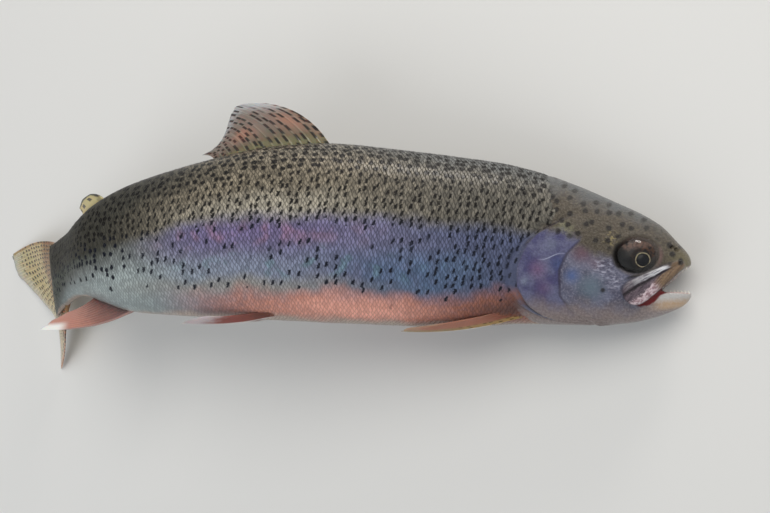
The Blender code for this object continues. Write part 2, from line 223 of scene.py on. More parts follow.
def girth_angle(s, h, w):
    """Degrees round the girth from the back (0) to the belly (180), and the radius (1 on the surface)."""
    centre, tall, wide = profile(s)
    up, out = (h - centre) / tall, np.abs(w) / wide
    half = POWER / 2
    angle = np.degrees(np.arctan2(out**half, np.sign(up) * np.abs(up) ** half))
    return angle, (np.abs(up) ** POWER + out**POWER) ** (1 / POWER)


# The plate of the upper jaw runs back and down from the snout over the corner of the mouth. JAW_HALF is
# its half width at places down its length.
JAW_ROOT = (0.017, -0.004)
JAW_WAY = (0.798, -0.603)
JAW_LONG = 0.0805
JAW_HALF = ((0.0, 0.0045), (0.011, 0.0066), (0.024, 0.0096), (0.041, 0.0124), (0.060, 0.0150),
            (0.080, 0.0150))
JAW_WALL = 0.965  # where it stands, as a share of the body's half width


def jaw_plate_place(s, h):
    """How far down the upper jaw's plate a place lies, how far across it (-1 to 1), and its half width."""
    ds, dh = s - JAW_ROOT[0], h - JAW_ROOT[1]
    down = ds * JAW_WAY[0] + dh * JAW_WAY[1]
    half = table(JAW_HALF, down)
    return down, (dh * JAW_WAY[0] - ds * JAW_WAY[1]) / half, half


def jaw_plate_edge(s, h):
    """Under 0 on the upper jaw's plate, seen from the side."""
    down, across, half = jaw_plate_place(s, h)
    return both(both(half * (np.abs(across) - 1), down - JAW_LONG, 5 * MM), -down, 1 * MM)


def scaled(s, angle):
    """1 where scales grow, 0 on the bare head."""
    start = table(SCALES_START, angle)
    return fade(s, start - 2.0 * MM, start + 1.0 * MM)


def relief(s, h, angle):
    """How far the skin stands out from the plain outline, in shares."""
    gill, flap = table(GILL_EDGE, angle), table(FLAP_EDGE, angle)
    beside = fade(angle, 52, 74)
    before_gill = fade(s, gill, gill - 2 * MM)
    # The gill cover's plate, the soft flap behind it, and the hollows behind both.
    plate = fade(s, gill + 0.5 * MM, gill - 0.5 * MM) * fade(s, 0.105, 0.165) * beside
    soft = fade(s, flap + 0.4 * MM, flap - 0.5 * MM) * fade(s, 0.10, 0.16) * beside
    lift = MM * (0.62 * plate + 0.50 * soft - 0.42 * bump(s, flap + 1.0 * MM, 1.0 * MM) * beside)
    lift = lift - MM * 0.12 * bump(s, gill + 0.8 * MM, 0.4 * MM) * beside
    # The crease before the gill cover, with a swelling ahead of it.
    crease = s - table(CHEEK_LINE, h)
    lift = lift - MM * 0.30 * bump(crease, 0, 0.55 * MM) * fade(angle, 74, 84)
    lift = lift + MM * 0.25 * bump(crease, -1.6 * MM, 1.6 * MM) * fade(angle, 70, 84)
    # The seam between the two plates of the gill cover.
    seam = h + 0.052 - 0.35 * (s - 0.19)
    lift = lift - MM * 0.12 * bump(seam, 0, 0.5 * MM) * fade(s, 0.160, 0.170) * before_gill
    # The folded rays under the throat.
    under = fade(angle, 140, 150) * fade(s, 0.090, 0.105) * before_gill
    rays = (angle - 140 + 260 * (s - 0.14)) / 5.5
    lift = lift + MM * 0.30 * under * (1 - (rays - np.floor(rays))) ** 1.5
    return lift - SCALE_DEPTH * scaled(s, angle) - SKIN_DEPTH


# The eye's opening, a little longer than high, and the tissue round the eyeball.
OPENING = (0.0707, 0.0012)
OPENING_HALF = (0.0245, 0.0218)
OPENING_TILT = math.radians(-12)


def tilted(x, y, way=1):
    """x and y turned into the tilt of the eye's opening, or back out of it where way is -1."""
    cos, sin = math.cos(OPENING_TILT), way * math.sin(OPENING_TILT)
    return x * cos + y * sin, y * cos - x * sin


def round_the_eye(s, h):
    """Distance from the eye's middle as a share of its opening: 1 on the rim."""
    x, y = tilted(s - OPENING[0], h - OPENING[1])
    return np.sqrt((x / OPENING_HALF[0]) ** 2 + (y / OPENING_HALF[1]) ** 2)


NOSTRILS = ((0.0265, 0.0105, 0.85), (0.0318, 0.0130, 0.70))  # share, height, radius in mm


def narrowing(s, h):
    """How much slimmer the lower jaw is than the body's own cross-section."""
    floor = smooth(MOUTH_FLOOR, s)
    return 1 - 0.14 * fade(s, 0.110, 0.060) * fade(h, floor + 0.012, floor - 0.002)


WEB_SHARE = 0.74  # where the web in the corner of the mouth stands, as a share of the body's half width


def mouth_space(s, h, out, wide):
    """The open mouth: the slit between the lips and the vault behind them."""
    roof, floor = smooth(PALATE, s), smooth(MOUTH_FLOOR, s)
    slit = both(both(h - roof, floor - h, 0.8 * MM), s - MOUTH_END, 1.5 * MM)
    middle = (roof + floor) / 2
    high = (roof - floor) / 2 + 1.9 * MM * fade(s, 0.004, 0.030) * fade(s, 0.125, 0.090)
    inner = np.minimum(WEB_SHARE * wide - 1.0 * MM, narrowing(s, h) * side(s, h) - 1.5 * MM)
    inner = np.maximum(inner, 0.5 * MM)
    vault = (np.sqrt(((h - middle) / high) ** 2 + (out / inner) ** 2) - 1) * high
    vault = both(vault, s - 0.112, 3 * MM)
    return either(slit, both(vault, 0.011 - s, 1 * MM), 1.2 * MM)


def mouth_web(s, h, out, place):
    """The thin web of skin that closes the corner of the mouth, a little way in from its side."""
    roof, floor = smooth(PALATE, s) + 1.5 * MM, smooth(MOUTH_FLOOR, s) - 1.5 * MM
    middle = (roof + floor) / 2
    front = 0.036 + 0.9 * np.abs(h - middle + 1.2 * MM)
    sheet = both(np.abs(out - place) - 0.40 * MM, np.abs(h - middle) - (roof - floor) / 2, 0.5 * MM)
    return both(both(sheet, front - s, 0.6 * MM), s - 0.072, 0.5 * MM)


def fish(s, h, w):
    """The whole fish as a field: under 0 inside, and close to a distance in shares near the surface."""
    out = np.abs(w)
    centre, _, wide = profile(s)
    narrow = narrowing(s, h)
    angle, radius = girth_angle(s, h, out / narrow)
    reach = np.sqrt((h - centre) ** 2 + out**2) + 1e-9
    body = reach - reach / np.maximum(radius, 1e-6)
    body = body - relief(s, h, angle)
    eye = round_the_eye(s, h)
    beside = fade(out, 0.35 * wide, 0.6 * wide)
    body = body - MM * 0.32 * bump(eye, 1.14, 0.12) * beside  # a low wall round the eye
    front = SNOUT + (CHIN - SNOUT) * fade(h, -0.018, -0.034)
    body = both(body, front - s, 3.6 * MM)

    web = mouth_web(s, h, out, np.minimum(WEB_SHARE * wide, narrow * side(s, h) - 1.1 * MM))
    body = both(body, -mouth_space(s, h, out, wide), 1.1 * MM)
    body = either(body, web, 0.3 * MM)
    _, across, _ = jaw_plate_place(s, h)
    ridges = 0.30 * bump(across, 0.76, 0.26) - 0.30 * bump(across, 0.34, 0.20)
    wall = JAW_WALL * wide + MM * ridges + 0.20 * MM * bump(across, -0.40, 0.35)
    plate = both(jaw_plate_edge(s, h), np.abs(out - wall) - 0.62 * MM, 0.9 * MM)
    body = either(body, plate, 0.7 * MM)

    level = side(*EYE_PLACE)
    socket = np.sqrt(np.maximum(eye, 1e-6) ** 2 + ((out - level - 1.2 * MM) / (2.6 * MM)) ** 2) - 1
    body = both(body, -socket * 2.4 * MM, 0.9 * MM)
    for s_pit, h_pit, size in NOSTRILS:
        pit = np.sqrt((s - s_pit) ** 2 + (h - h_pit) ** 2 * 1.6) - size * MM
        pit = both(pit, side(s_pit, h_pit) - 1.2 * MM - out, 0.5 * MM)
        body = both(body, -pit, 0.5 * MM)
    return body


# ---------------------------------------------------------------- from a field to a mesh


def crossings(field, axis):
    """Grid edges along an axis where the field changes sign: lower node, share along, and which way."""
    low = [slice(None)] * 3
    high = [slice(None)] * 3
    low[axis], high[axis] = slice(None, -1), slice(1, None)
    a, b = field[tuple(low)], field[tuple(high)]
    node = np.argwhere((a < 0) != (b < 0))
    before, after = a[tuple(node.T)], b[tuple(node.T)]
    return node, before / (before - after), before < 0


def net(axes, field):
    """A mesh of quads round a field's zero level: one corner for each cell that it crosses."""
    shape = np.array(field.shape)
    total = np.zeros((int(shape.prod()), 3))
    count = np.zeros(int(shape.prod()))
    quads = []
    for axis in range(3):
        node, share, rising = crossings(field, axis)
        place = np.stack([axes[i][node[:, i]] for i in range(3)], 1)
        place[:, axis] += share * (axes[axis][node[:, axis] + 1] - axes[axis][node[:, axis]])
        one, two = (axis + 1) % 3, (axis + 2) % 3
        ring = []
        for back_one, back_two in ((1, 1), (0, 1), (0, 0), (1, 0)):
            cell = node.copy()
            cell[:, one] -= back_one
            cell[:, two] -= back_two
            index = np.ravel_multi_index(cell.T, shape)
            for i in range(3):
                total[:, i] += np.bincount(index, weights=place[:, i], minlength=len(total))
            count += np.bincount(index, minlength=len(count))
            ring.append(index)
        ring = np.stack(ring, 1)
        quads.append(np.where(rising[:, None], ring[:, ::-1], ring))
    quads = np.concatenate(quads)
    used, faces = np.unique(quads, return_inverse=True)
    return total[used] / count[used][:, None], faces.reshape(quads.shape)


def settle(points, farthest):
    """Moves points on to the field's zero level, by the farthest at each of its steps."""
    nudge = 0.04 * MM
    for _ in range(3):
        ends = [(fish(*(points + one).T), fish(*(points - one).T)) for one in np.eye(3) * nudge]
        slope = np.stack([(high - low) / (2 * nudge) for high, low in ends], 1)
        step = -fish(*points.T)[:, None] * slope / np.maximum((slope**2).sum(1), 0.25)[:, None]
        points = points + np.clip(step, -farthest, farthest)
    return points


def skin_mesh():
    """Corners in shares and quads of the whole skin, finer on the head than along the trunk."""
    s = np.concatenate((np.arange(0.0, 0.236, 0.42 * MM), np.arange(0.236, 0.960, 3.2 * MM),
                        np.arange(0.960, 1.040, 1.5 * MM)))
    h, half = np.arange(-0.125, 0.132, 0.45 * MM), np.arange(0, 0.080, 0.45 * MM)
    values = fish(s[:, None, None], h[None, :, None], half[None, None, :])
    values[0], values[-1] = 1.0, 1.0
    field = np.concatenate((values[:, :, :0:-1], values), 2)
    points, quads = net((s, h, np.concatenate((-half[:0:-1], half))), field)
    return settle(points, 0.2 * MM), quads


LOWEST = 0.00004  # metres over the floor


def link(name, data):
    """A new object in the scene."""
    piece = bpy.data.objects.new(name, data)
    bpy.context.scene.collection.objects.link(piece)
    return piece


def add_mesh(name, points, faces, finish, attributes=(), uv=None):
    """A smooth-shaded object from points in metres, with float or vector attributes on its points.

    faces is a list of arrays, each with faces of one number of corners.
    """
    mesh = bpy.data.meshes.new(name)
    points = np.array(points, np.float32)
    points[:, 2] = np.maximum(points[:, 2], LOWEST)  # what touches the floor is flat there
    corners = np.concatenate([np.ravel(group) for group in faces]).astype(np.int32)
    sizes = np.concatenate([np.full(len(group), np.shape(group)[1]) for group in faces])
    mesh.vertices.add(len(points))
    mesh.vertices.foreach_set("co", points.ravel())
    mesh.loops.add(len(corners))
    mesh.loops.foreach_set("vertex_index", corners)
    mesh.polygons.add(len(sizes))
    mesh.polygons.foreach_set("loop_start", (np.cumsum(sizes) - sizes).astype(np.int32))
    mesh.update(calc_edges=True)
    for key, values in dict(attributes).items():
        values = np.asarray(values, np.float32)
        if values.ndim == 1:
            mesh.attributes.new(key, "FLOAT", "POINT").data.foreach_set("value", values)
        else:
            mesh.attributes.new(key, "FLOAT_VECTOR", "POINT").data.foreach_set("vector", values.ravel())
    if uv is not None:
        layer = mesh.uv_layers.new(name="OFBake")
        layer.data.foreach_set("uv", np.asarray(uv, np.float32)[corners].ravel())
    mesh.shade_smooth()
    mesh.validate()
    mesh.materials.append(finish)
    return link(name, mesh)


def tube_quads(rows, columns):
    """The quads of a tube of rings, each with its points in the same turn."""
    index = np.arange(rows * columns).reshape(rows, columns)
    after = np.roll(index, -1, 1)
    return np.stack((index[:-1], index[1:], after[1:], after[:-1]), -1).reshape(-1, 4)


# ---------------------------------------------------------------- girth, and places on the hide

MOST_GIRTH = 56  # mm from the middle of the side
GIRTH_S = np.linspace(0.10, 1.034, 468)
GIRTH_DEG = np.arange(-24.0, 204.1, 1.0)
GIRTH_MM = np.linspace(-MOST_GIRTH, MOST_GIRTH, 449)
LEFT_HIDE = 300.0  # the third coordinate of the left side's hide, which gives it other spots


def on_outline(s, degrees, inset):
    """Height and sideways share of the body's surface at an angle round the girth."""
    centre, tall, wide = profile(s)
    angle = np.radians(degrees)
    power = 2 / POWER
    up, out = np.cos(angle), np.sin(angle)
    up, out = np.sign(up) * np.abs(up) ** power, np.sign(out) * np.abs(out) ** power
    return centre + (tall - inset) * up, (wide - inset) * out


def girth_tables():
    """Millimetres of girth above the middle of the side for each share and angle, and the reverse."""
    h, w = on_outline(GIRTH_S[:, None], GIRTH_DEG[None, :], SCALE_DEPTH)
    step = np.hypot(np.diff(h, axis=1), np.diff(w, axis=1)) * LENGTH * 1000
    length = np.concatenate((np.zeros((len(GIRTH_S), 1)), np.cumsum(step, 1)), 1)
    middle = int(np.argmin(np.abs(GIRTH_DEG - 90)))
    girth = length[:, middle : middle + 1] - length
    angle = np.stack([np.interp(GIRTH_MM, row[::-1], GIRTH_DEG[::-1]) for row in girth])
    return girth, angle


GIRTH, GIRTH_ANGLE = girth_tables()


def look_up(grid, rows, columns, row, column):
    """Reads a grid at places between its rows and columns."""
    i = np.clip(np.interp(row, rows, np.arange(len(rows))), 0, len(rows) - 1.001)
    j = np.clip(np.interp(column, columns, np.arange(len(columns))), 0, len(columns) - 1.001)
    i0, j0 = i.astype(int), j.astype(int)
    a, b = i - i0, j - j0
    upper = grid[i0, j0] * (1 - b) + grid[i0, j0 + 1] * b
    lower = grid[i0 + 1, j0] * (1 - b) + grid[i0 + 1, j0 + 1] * b
    return upper * (1 - a) + lower * a


def hide_attributes(s, h, angle, right):
    """What the markings are painted by: millimetres along and round the hide, and levels on the body."""
    centre, tall, _ = profile(s)
    girth = look_up(GIRTH, GIRTH_S, GIRTH_DEG, s, angle)
    hide = np.stack((s * LENGTH * 1000, girth, np.where(right, 0.0, LEFT_HIDE)), 1)
    level = np.stack((s, (h - centre) / tall, angle / 180), 1)
    return hide, level


# ---------------------------------------------------------------- materials

COLOURS = dict(
    # back and flank
    olive="575044", tan="7b7262", dark_olive="38362f", sky_sheen="5a5f63", nape="53514c", ashen="9a9487",
    lavender="65657d", slate="4b5068", steel="53647f", violet="665a7c", rose="795a72", teal="5f7d84",
    lilac="767c8e", silver="9ba4a3", tail_green="474a42", grey="686a68",
    # belly, spots and scales
    coral="94604f", salmon="b87f6e", blush="e8a896", cream="a8968a", straw="8f8a80", fold="41302e",
    spot="0d0b09", brown_spot="14100c", navy_spot="0a0d1a", scale_rim="665f57",
    # head
    head_olive="5d5445", head_brown="423a2f", head_sheen="575c60", head_spot="1a140f", gold="958657",
    yellow_green="838162", lip_yellow="6f6648", orbit="6e5550", dark_orbit="43342b", socket="14110f",
    cheek="656678", dark_cheek="4c4a5b", pale_cheek="b3b1be", warm_cheek="674c55", blue_cheek="4a6190",
    teal_cheek="5c6c76", wrinkle="3d3948", indigo="444265", cobalt="3c4b72", magenta="6a4868",
    periwinkle="60607a", cover_grey="646c78", cover_pale="7c8494", cover_crease="a2a5b8", dark_rim="2b2229",
    flap="5a617b", flap_top="49443a", throat="786a66", pale_throat="91827d",
    # jaws and mouth
    peach="bd9f80", mauve_chin="857877", chin_glint="d0c2b4", glassy="c0bebb", plate_silver="dedddd",
    silver_shade="807c84", plate_dark="3a2f36", plate_dusk="5d4f56", plate_groove="1d1518",
    plate_pale="ccb8bb", plate_rose="8d6f74", lip_brown="80684e", lip_shade="5c483a", mouth_red="6f1b1b",
    mouth_pink="b89a92", tongue="a8473f", pale_tongue="c27a70", tooth="e9e2d2",
    # fins, each from its root to its tip, and its front edge
    fin_joint="5a4c3c", dorsal_root="6d6850", dorsal="7f786c", dorsal_tip="9aa09f", dorsal_front="8d7c68",
    dorsal_corner="b9bfbe", dorsal_blush="a4775e", dorsal_base="77714e", adipose_root="9c9160",
    adipose="c2b27c", tail_root="94794c", tail="c2b07f", tail_tip="bdb8a8", tail_front="a98f62",
    tail_edge="9c998f", tail_low_edge="b48a6a", tail_base="7d5a35", tail_dot="2c241a", anal_root="6a5450",
    anal="8f665a", anal_tip="b27f6e", anal_front="a08078", white_tip="e4e2de", pectoral_root="8a5545",
    pectoral="b07763", pectoral_tip="b99a80", pectoral_front="a28a66", pectoral_tan="a88c5b",
    pectoral_edge="dfd3c8", pelvic_root="6a4641", pelvic="8f5148", pelvic_tip="c4b6b4",
    pelvic_front="cfc4c0",
    # eye and floor
    iris_black="1b1512", iris_brown="35281f", iris_red="62402c", iris_pink="7b5f52", iris_shade="12110f",
    iris_dusk="1c1512", ring="6f614a", ring_gold="b3a684", pupil="0b0b10", clear="fbfaf6", floor="d9d7d2",
)
FLESH = dict(Coat_Weight=0.4, Coat_Roughness=0.15, Subsurface_Weight=0.25, Subsurface_Scale=0.002)


def rgb(name):
    """A named colour in the renderer's linear values."""
    parts = [int(COLOURS[name][i : i + 2], 16) / 255 for i in (0, 2, 4)]
    return tuple(c / 12.92 if c <= 0.04045 else ((c + 0.055) / 1.055) ** 2.4 for c in parts) + (1.0,)


class Wire:
    """A value in a material. Sums, products and the calls below add the nodes that work it out."""

    def __init__(self, look, socket):
        self.look, self.socket = look, socket

    def math(self, operation, a, b=None):
        return self.look.add("ShaderNodeMath", {0: a, 1: b}, operation=operation)

    def __mul__(self, other):
        return self.math("MULTIPLY", self, other)

    def __add__(self, other):
        return self.math("ADD", self, other)

    def __radd__(self, other):
        return self.math("ADD", other, self)

    def __sub__(self, other):
        if isinstance(other, Wire):
            return self.math("SUBTRACT", self, other)
        return self + -other

    def __or__(self, other):
        """The larger of the two."""
        return self.math("MAXIMUM", self, other)

    def __abs__(self):
        return self.math("ABSOLUTE", self)

    def root(self):
        return self.math("SQRT", self)

    def past_whole(self):
        """What is left over a whole number."""
        return self.math("FRACT", self)

    def fade(self, start, end, low=0.0, high=1.0):
        """Low at start, high at end, smooth between."""
        inputs = {"Value": self, "From Min": start, "From Max": end, "To Min": low, "To Max": high}
        return self.look.add("ShaderNodeMapRange", inputs, interpolation_type="SMOOTHSTEP")

    def hill(self, start, top, end):
        """Rises from start to top and falls to end."""
        return self.fade(start, top) * self.fade(end, top)

    def between(self, a, b):
        """Colour a where this is 0 and colour b where it is 1."""
        return self.look.mix(self, a, b)


def laid(colour, *coats):
    """A colour with coats laid over it in turn, each a share and a colour."""
    for share, coat in coats:
        colour = share.between(colour, coat)
    return colour


class Look:
    """One material, with short calls that add its nodes."""

    def __init__(self, name, **plain):
        self.finish = bpy.data.materials.new(name)
        self.finish.use_nodes = True
        self.tree = self.finish.node_tree
        self.shader = self.tree.nodes["Principled BSDF"]
        for key, value in plain.items():
            self.shader.inputs[key.replace("_", " ")].default_value = value

    def feed(self, socket, value):
        if isinstance(value, Wire):
            self.tree.links.new(value.socket, socket)
        elif value is not None:
            socket.default_value = rgb(value) if isinstance(value, str) else value

    def node(self, kind, inputs=(), **settings):
        node = self.tree.nodes.new(kind)
        for key, value in settings.items():
            setattr(node, key, value)
        for key, value in dict(inputs).items():
            self.feed(node.inputs[key], value)
        return node

    def add(self, kind, inputs=(), output=0, **settings):
        return Wire(self, self.node(kind, inputs, **settings).outputs[output])

    def attribute(self, name):
        """A vector that the mesh carries."""
        return self.add("ShaderNodeAttribute", output="Vector", attribute_name=name)

    def number(self, name):
        """A number that the mesh carries."""
        return self.add("ShaderNodeAttribute", output="Fac", attribute_name=name)

    def split(self, vector):
        return [Wire(self, output) for output in self.node("ShaderNodeSeparateXYZ", {0: vector}).outputs]

    def join(self, x, y, z=0.0):
        return self.add("ShaderNodeCombineXYZ", {0: x, 1: y, 2: z})

    def mix(self, share, a, b, blend="MIX"):
        inputs = {0: share, 6: a, 7: b}
        return self.add("ShaderNodeMix", inputs, 2, data_type="RGBA", blend_type=blend)

    def shaded(self, colour, shade):
        """A colour made darker or lighter by a number."""
        return self.mix(1.0, colour, self.join(shade, shade, shade), "MULTIPLY")

    def noise(self, where, scale, detail=2.0, roughness=0.5):
        inputs = {"Vector": where, "Scale": scale, "Detail": detail, "Roughness": roughness}
        return self.add("ShaderNodeTexNoise", inputs, "Fac")

    def places(self, where, scale, randomness):
        """The nearest of scattered places in a plane: its distance, where it lies, and its chances."""
        inputs = {"Vector": where, "Scale": scale, "Randomness": randomness}
        node = self.node("ShaderNodeTexVoronoi", inputs, voronoi_dimensions="2D")
        return (Wire(self, node.outputs[name]) for name in ("Distance", "Position", "Color"))

    def apart(self, x, y, size_x, size_y, randomness):
        """How far along x and y the nearest of scattered places lies, and three chances of its own."""
        where = self.join(x * (1 / size_x), y * (1 / size_y))
        _, position, chances = self.places(where, 1.0, randomness)
        offset = self.add("ShaderNodeVectorMath", {0: where, 1: position}, operation="SUBTRACT")
        along, up, _ = self.split(offset)
        return along * size_x, up * size_y, self.split(chances)

    def stroke(self, x, y, degrees, half_long, half_wide):
        """1 on a short stroke through x = y = 0 that leans from the vertical."""
        sin, cos = math.sin(math.radians(degrees)), math.cos(math.radians(degrees))
        along = abs(x * sin + y * cos).fade(half_long + 0.25, half_long - 0.25)
        return along * abs(x * cos + y * -sin).fade(half_wide + 0.16, half_wide - 0.16)

    def blob(self, where, x, y, radius, soft):
        """1 inside a round patch, given in millimetres, 0 outside it."""
        inputs = {0: where, 1: (x, y, 0)}
        distance = self.add("ShaderNodeVectorMath", inputs, "Value", operation="DISTANCE")
        return distance.fade(radius + soft, radius - soft)

    def bumpy(self, height, strength, distance):
        bump = self.add("ShaderNodeBump", {"Height": height, "Strength": strength, "Distance": distance})
        self.feed(self.shader.inputs["Normal"], bump)
        self.feed(self.shader.inputs["Coat Normal"], bump)

    def duller(self, share, coat, gloss):
        """Less wet shine on the tail than on the rest of the fish."""
        shine = share.fade(0.62, 0.82, 1.0, 0.12)
        self.feed(self.shader.inputs["Coat Weight"], shine * coat)
        self.feed(self.shader.inputs["Specular IOR Level"], shine * gloss)

    def finish_with(self, colour, roughness=None):
        self.feed(self.shader.inputs["Base Color"], colour)
        self.feed(self.shader.inputs["Roughness"], roughness)
        return self.finish


def body_colour(look):
    """The trout's colours, the same on the skin and on the scales, with painted sky reflection and painted
    shade.
    """
    hide = look.attribute("hide")
    share, level, _ = look.split(look.attribute("level"))
    drift, blotch = look.noise(hide, 0.06, 3.0), look.noise(hide, 0.09, 3.0)
    patch, fine = look.noise(hide, 0.16), look.noise(hide, 0.55)
    level = level + (drift - 0.5) * 0.22
    back = laid(
        fine.fade(0.35, 0.66).between("olive", "tan"),
        (level.hill(0.02, 0.24, 0.52) * share.hill(0.3, 0.52, 0.74) * 0.65, "ashen"),
        (share.fade(0.5, 0.26) * 0.7, "nape"),
        # a painted reflection of the sky, blue-grey along the top edge of the back
        (level.fade(0.7, 0.99) * share.fade(0.62, 0.3) * 0.6, "sky_sheen"),
        # darker olive towards the tail: partly the tail's own tone, partly painted shade
        ((share + level.fade(0.4, 0.8, 0.0, 0.07)).fade(0.6, 0.78), "dark_olive"),
    )
    low_tail = level + ((share - 0.74) | 0.0) * 2.6 + ((share - 0.95) | 0.0) * 2.5
    flank = laid(
        share.fade(0.42, 0.26).between("lavender", "slate"),
        (level.fade(-0.05, -0.35) * share.hill(0.21, 0.32, 0.54) * patch.fade(0.25, 0.55, 0.5, 1.0),
         "steel"),
        (level.fade(-0.15, -0.45) * share.fade(0.4, 0.52), "lilac"),
        (level.hill(-0.34, 0.0, 0.24) * share.hill(0.32, 0.54, 0.8) * 0.85,
         patch.fade(0.45, 0.66).between("violet", "rose")),
        (patch.fade(0.54, 0.66) * level.hill(-0.62, -0.38, -0.1) * share.hill(0.22, 0.45, 0.85) * 0.55,
         "teal"),
        (share.fade(0.61, 0.74), "grey"),
        (share.fade(0.68, 0.8) * low_tail.fade(-0.34, 0.3), "tail_green"),
        (share.fade(0.52, 0.8) * low_tail.fade(0.0, -0.56), "silver"),
    )
    above = level + share.fade(0.6, 0.86) * 0.25
    low = level + (blotch - 0.5) * 0.3 + share.fade(0.3, 0.24, 0.0, 0.1) * -1.0
    colour = laid(
        above.fade(0.27, 0.04).between(back, flank),
        (level.hill(-0.8, -0.6, -0.44) * share.hill(0.3, 0.55, 0.8) * 0.75, "straw"),
        (low.fade(-0.56, -0.8) * share.fade(0.7, 0.53) * fine.fade(0.3, 0.6, 0.8, 1.0),
         (share + blotch * 0.12).fade(0.3, 0.44).between("coral", "salmon")),
        (level.hill(-0.58, -0.86, -1.0) * share.hill(0.27, 0.41, 0.58) * 0.9, "blush"),
        (level.fade(-0.9, -0.99), "cream"),
        # painted shadow in the fold behind the gill cover, low on the side
        (level.hill(-0.96, -0.8, -0.6) * share.hill(0.175, 0.21, 0.29) * 0.8, "fold"),
    )
    return hide, share, level, fine, colour


def spotted(look, hide, share, level, colour, strength):
    """Small dark marks, crowded on the back and scattered below: crossed strokes that lean both ways."""
    x, girth, side_of = look.split(hide)
    x = x + side_of * 4.7 + (look.noise(hide, 0.45) - 0.5) * 1.2
    dx, dy, (chance, lean, arm) = look.apart(x, girth, 3.25, 2.75, 0.62)
    near_head = share.fade(0.4, 0.28) * level.fade(-0.7, -0.48) * 0.88
    near_tail = share.fade(0.66, 0.78) * level.fade(-0.48, -0.2) * 0.85
    crowd = level.fade(-0.04, 0.22, 0.34, 1.0) * level.fade(-0.74, -0.54) | (near_head | near_tail)
    crowd = crowd * (1.0 + level.hill(-0.2, 0.0, 0.16) * share.fade(0.3, 0.42) * -0.5)
    kept = (crowd - chance).fade(-0.03, 0.03) * look.noise(hide, 0.12, 1.0).fade(0.2, 0.4, 0.8, 1.0)
    one = look.stroke(dx, dy, -24, 1.05, 0.36)
    two = look.stroke(dx, dy + (arm - 0.5) * 1.2, 28, 0.7, 0.28) * lean.fade(0.3, 0.55, 0.25, 1.0)
    distance = (dx * dx + dy * dy).root() + (look.noise(hide, 1.4) - 0.5) * 0.9
    rounder = level.fade(0.5, 0.8) | share.fade(0.66, 0.8)
    heart = (rounder.fade(0, 1, 0.5, 0.98) - distance).fade(-0.28, 0.22)
    spot = (heart | (one | two) * rounder.fade(0, 1, 1.0, 0.35)) * kept
    return laid(colour, (spot * strength, level.fade(0.05, 0.25).between("navy_spot", "brown_spot")))


def scale_finish():
    look = Look("scale_hide", Metallic=0.08, Coat_Roughness=0.18)
    hide, share, level, _, colour = body_colour(look)
    edge, chance, _ = look.split(look.attribute("scale"))
    shade = 1.0 + chance.fade(0.0, 1.0, -1.0, 1.0) * level.fade(-0.7, -0.3, 0.12, 0.24)
    # each scale is lighter over its middle: partly its own pale centre, partly a painted highlight
    shade = shade * (1.0 + edge.hill(0.42, 0.72, 0.93) * level.fade(-0.9, 0.2, 0.12, 0.46))
    colour = look.mix(1.0, colour, look.join(shade, shade, shade * 0.98), "MULTIPLY")
    rim = edge.fade(0.84, 0.98) * level.fade(-0.9, 0.2, 0.4, 0.6)
    rim = rim * chance.fade(0.1, 0.9, 0.7, 1.0) * share.fade(0.17, 0.23, 0.4, 1.0)
    colour = look.mix(rim, colour, "scale_rim", "MULTIPLY")
    colour = spotted(look, hide, share, level, colour, edge.fade(0.4, 0.85, 0.8, 1.0))
    look.duller(share, 0.17, 0.32)
    look.bumpy(look.noise(hide, 9.0, 1.0), 0.1, 0.00005)
    return look.finish_with(colour, level.fade(-0.5, 0.6, 0.3, 0.4))


# The bare head is painted in its own millimetres: x back from the snout, y up.


def crown_colour(look, x, y, flat, level, fine):
    """The olive top of the head, from the lip's yellow to a painted blue-grey reflection at the back's
    edge.
    """
    ragged = look.noise(flat, 0.9, 3.0)
    return laid(
        fine.fade(0.38, 0.66).between("head_brown", "head_olive"),
        # a painted reflection of the sky along the top edge of the head
        (level.fade(0.66, 0.98) * x.fade(8, 22) * 0.7, "head_sheen"),
        (x.fade(13, 4) * y.fade(6, 0) * 0.7, "lip_yellow"),
        (ragged.fade(0.5, 0.6) * look.blob(flat, 28.5, 5.2, 2.2, 1.8) * 0.7, "gold"),
        (look.blob(flat, 44, 6.6, 2.6, 2.2) * ragged.fade(0.36, 0.56, 0.25, 1.0) * 0.8, "yellow_green"),
    )


def cheek_colour(look, flat, soft, fine):
    """Mauve and blue, with wrinkles behind the eye and over the jaw, silvery and in painted light and
    shade.
    """
    inputs = {"Vector": flat, "Rotation": (0, 0, -0.45), "Scale": (0.55, 1.3, 1)}
    slanted = look.add("ShaderNodeMapping", inputs)
    wrinkle = look.noise(slanted, 0.95, 5.0, 0.65)
    where = look.blob(flat, 30, -4.5, 2.6, 3.4) | look.blob(flat, 26.5, -9, 2.0, 2.4)
    return laid(
        soft.fade(0.35, 0.65).between("dark_cheek", "cheek"),
        (fine.fade(0.45, 0.65) * 0.25, "pale_cheek"),
        (look.blob(flat, 37.5, 0, 2.6, 3.5), "warm_cheek"),
        (look.blob(flat, 33, -3.5, 1.5, 2.5) * 0.6, "warm_cheek"),
        (look.blob(flat, 34, -11.5, 3.5, 3.5) * 0.8, "teal_cheek"),
        (look.blob(flat, 40.3, -8.2, 1.5, 2.6) * 0.9, "blue_cheek"),
        # the wrinkles: pale ridges, partly silvery skin and partly painted highlight, and dark creases in
        # painted shade
        (wrinkle.fade(0.5, 0.6) * where * 0.85, "pale_cheek"),
        (wrinkle.fade(0.48, 0.4) * where * 0.7, "wrinkle"),
    )


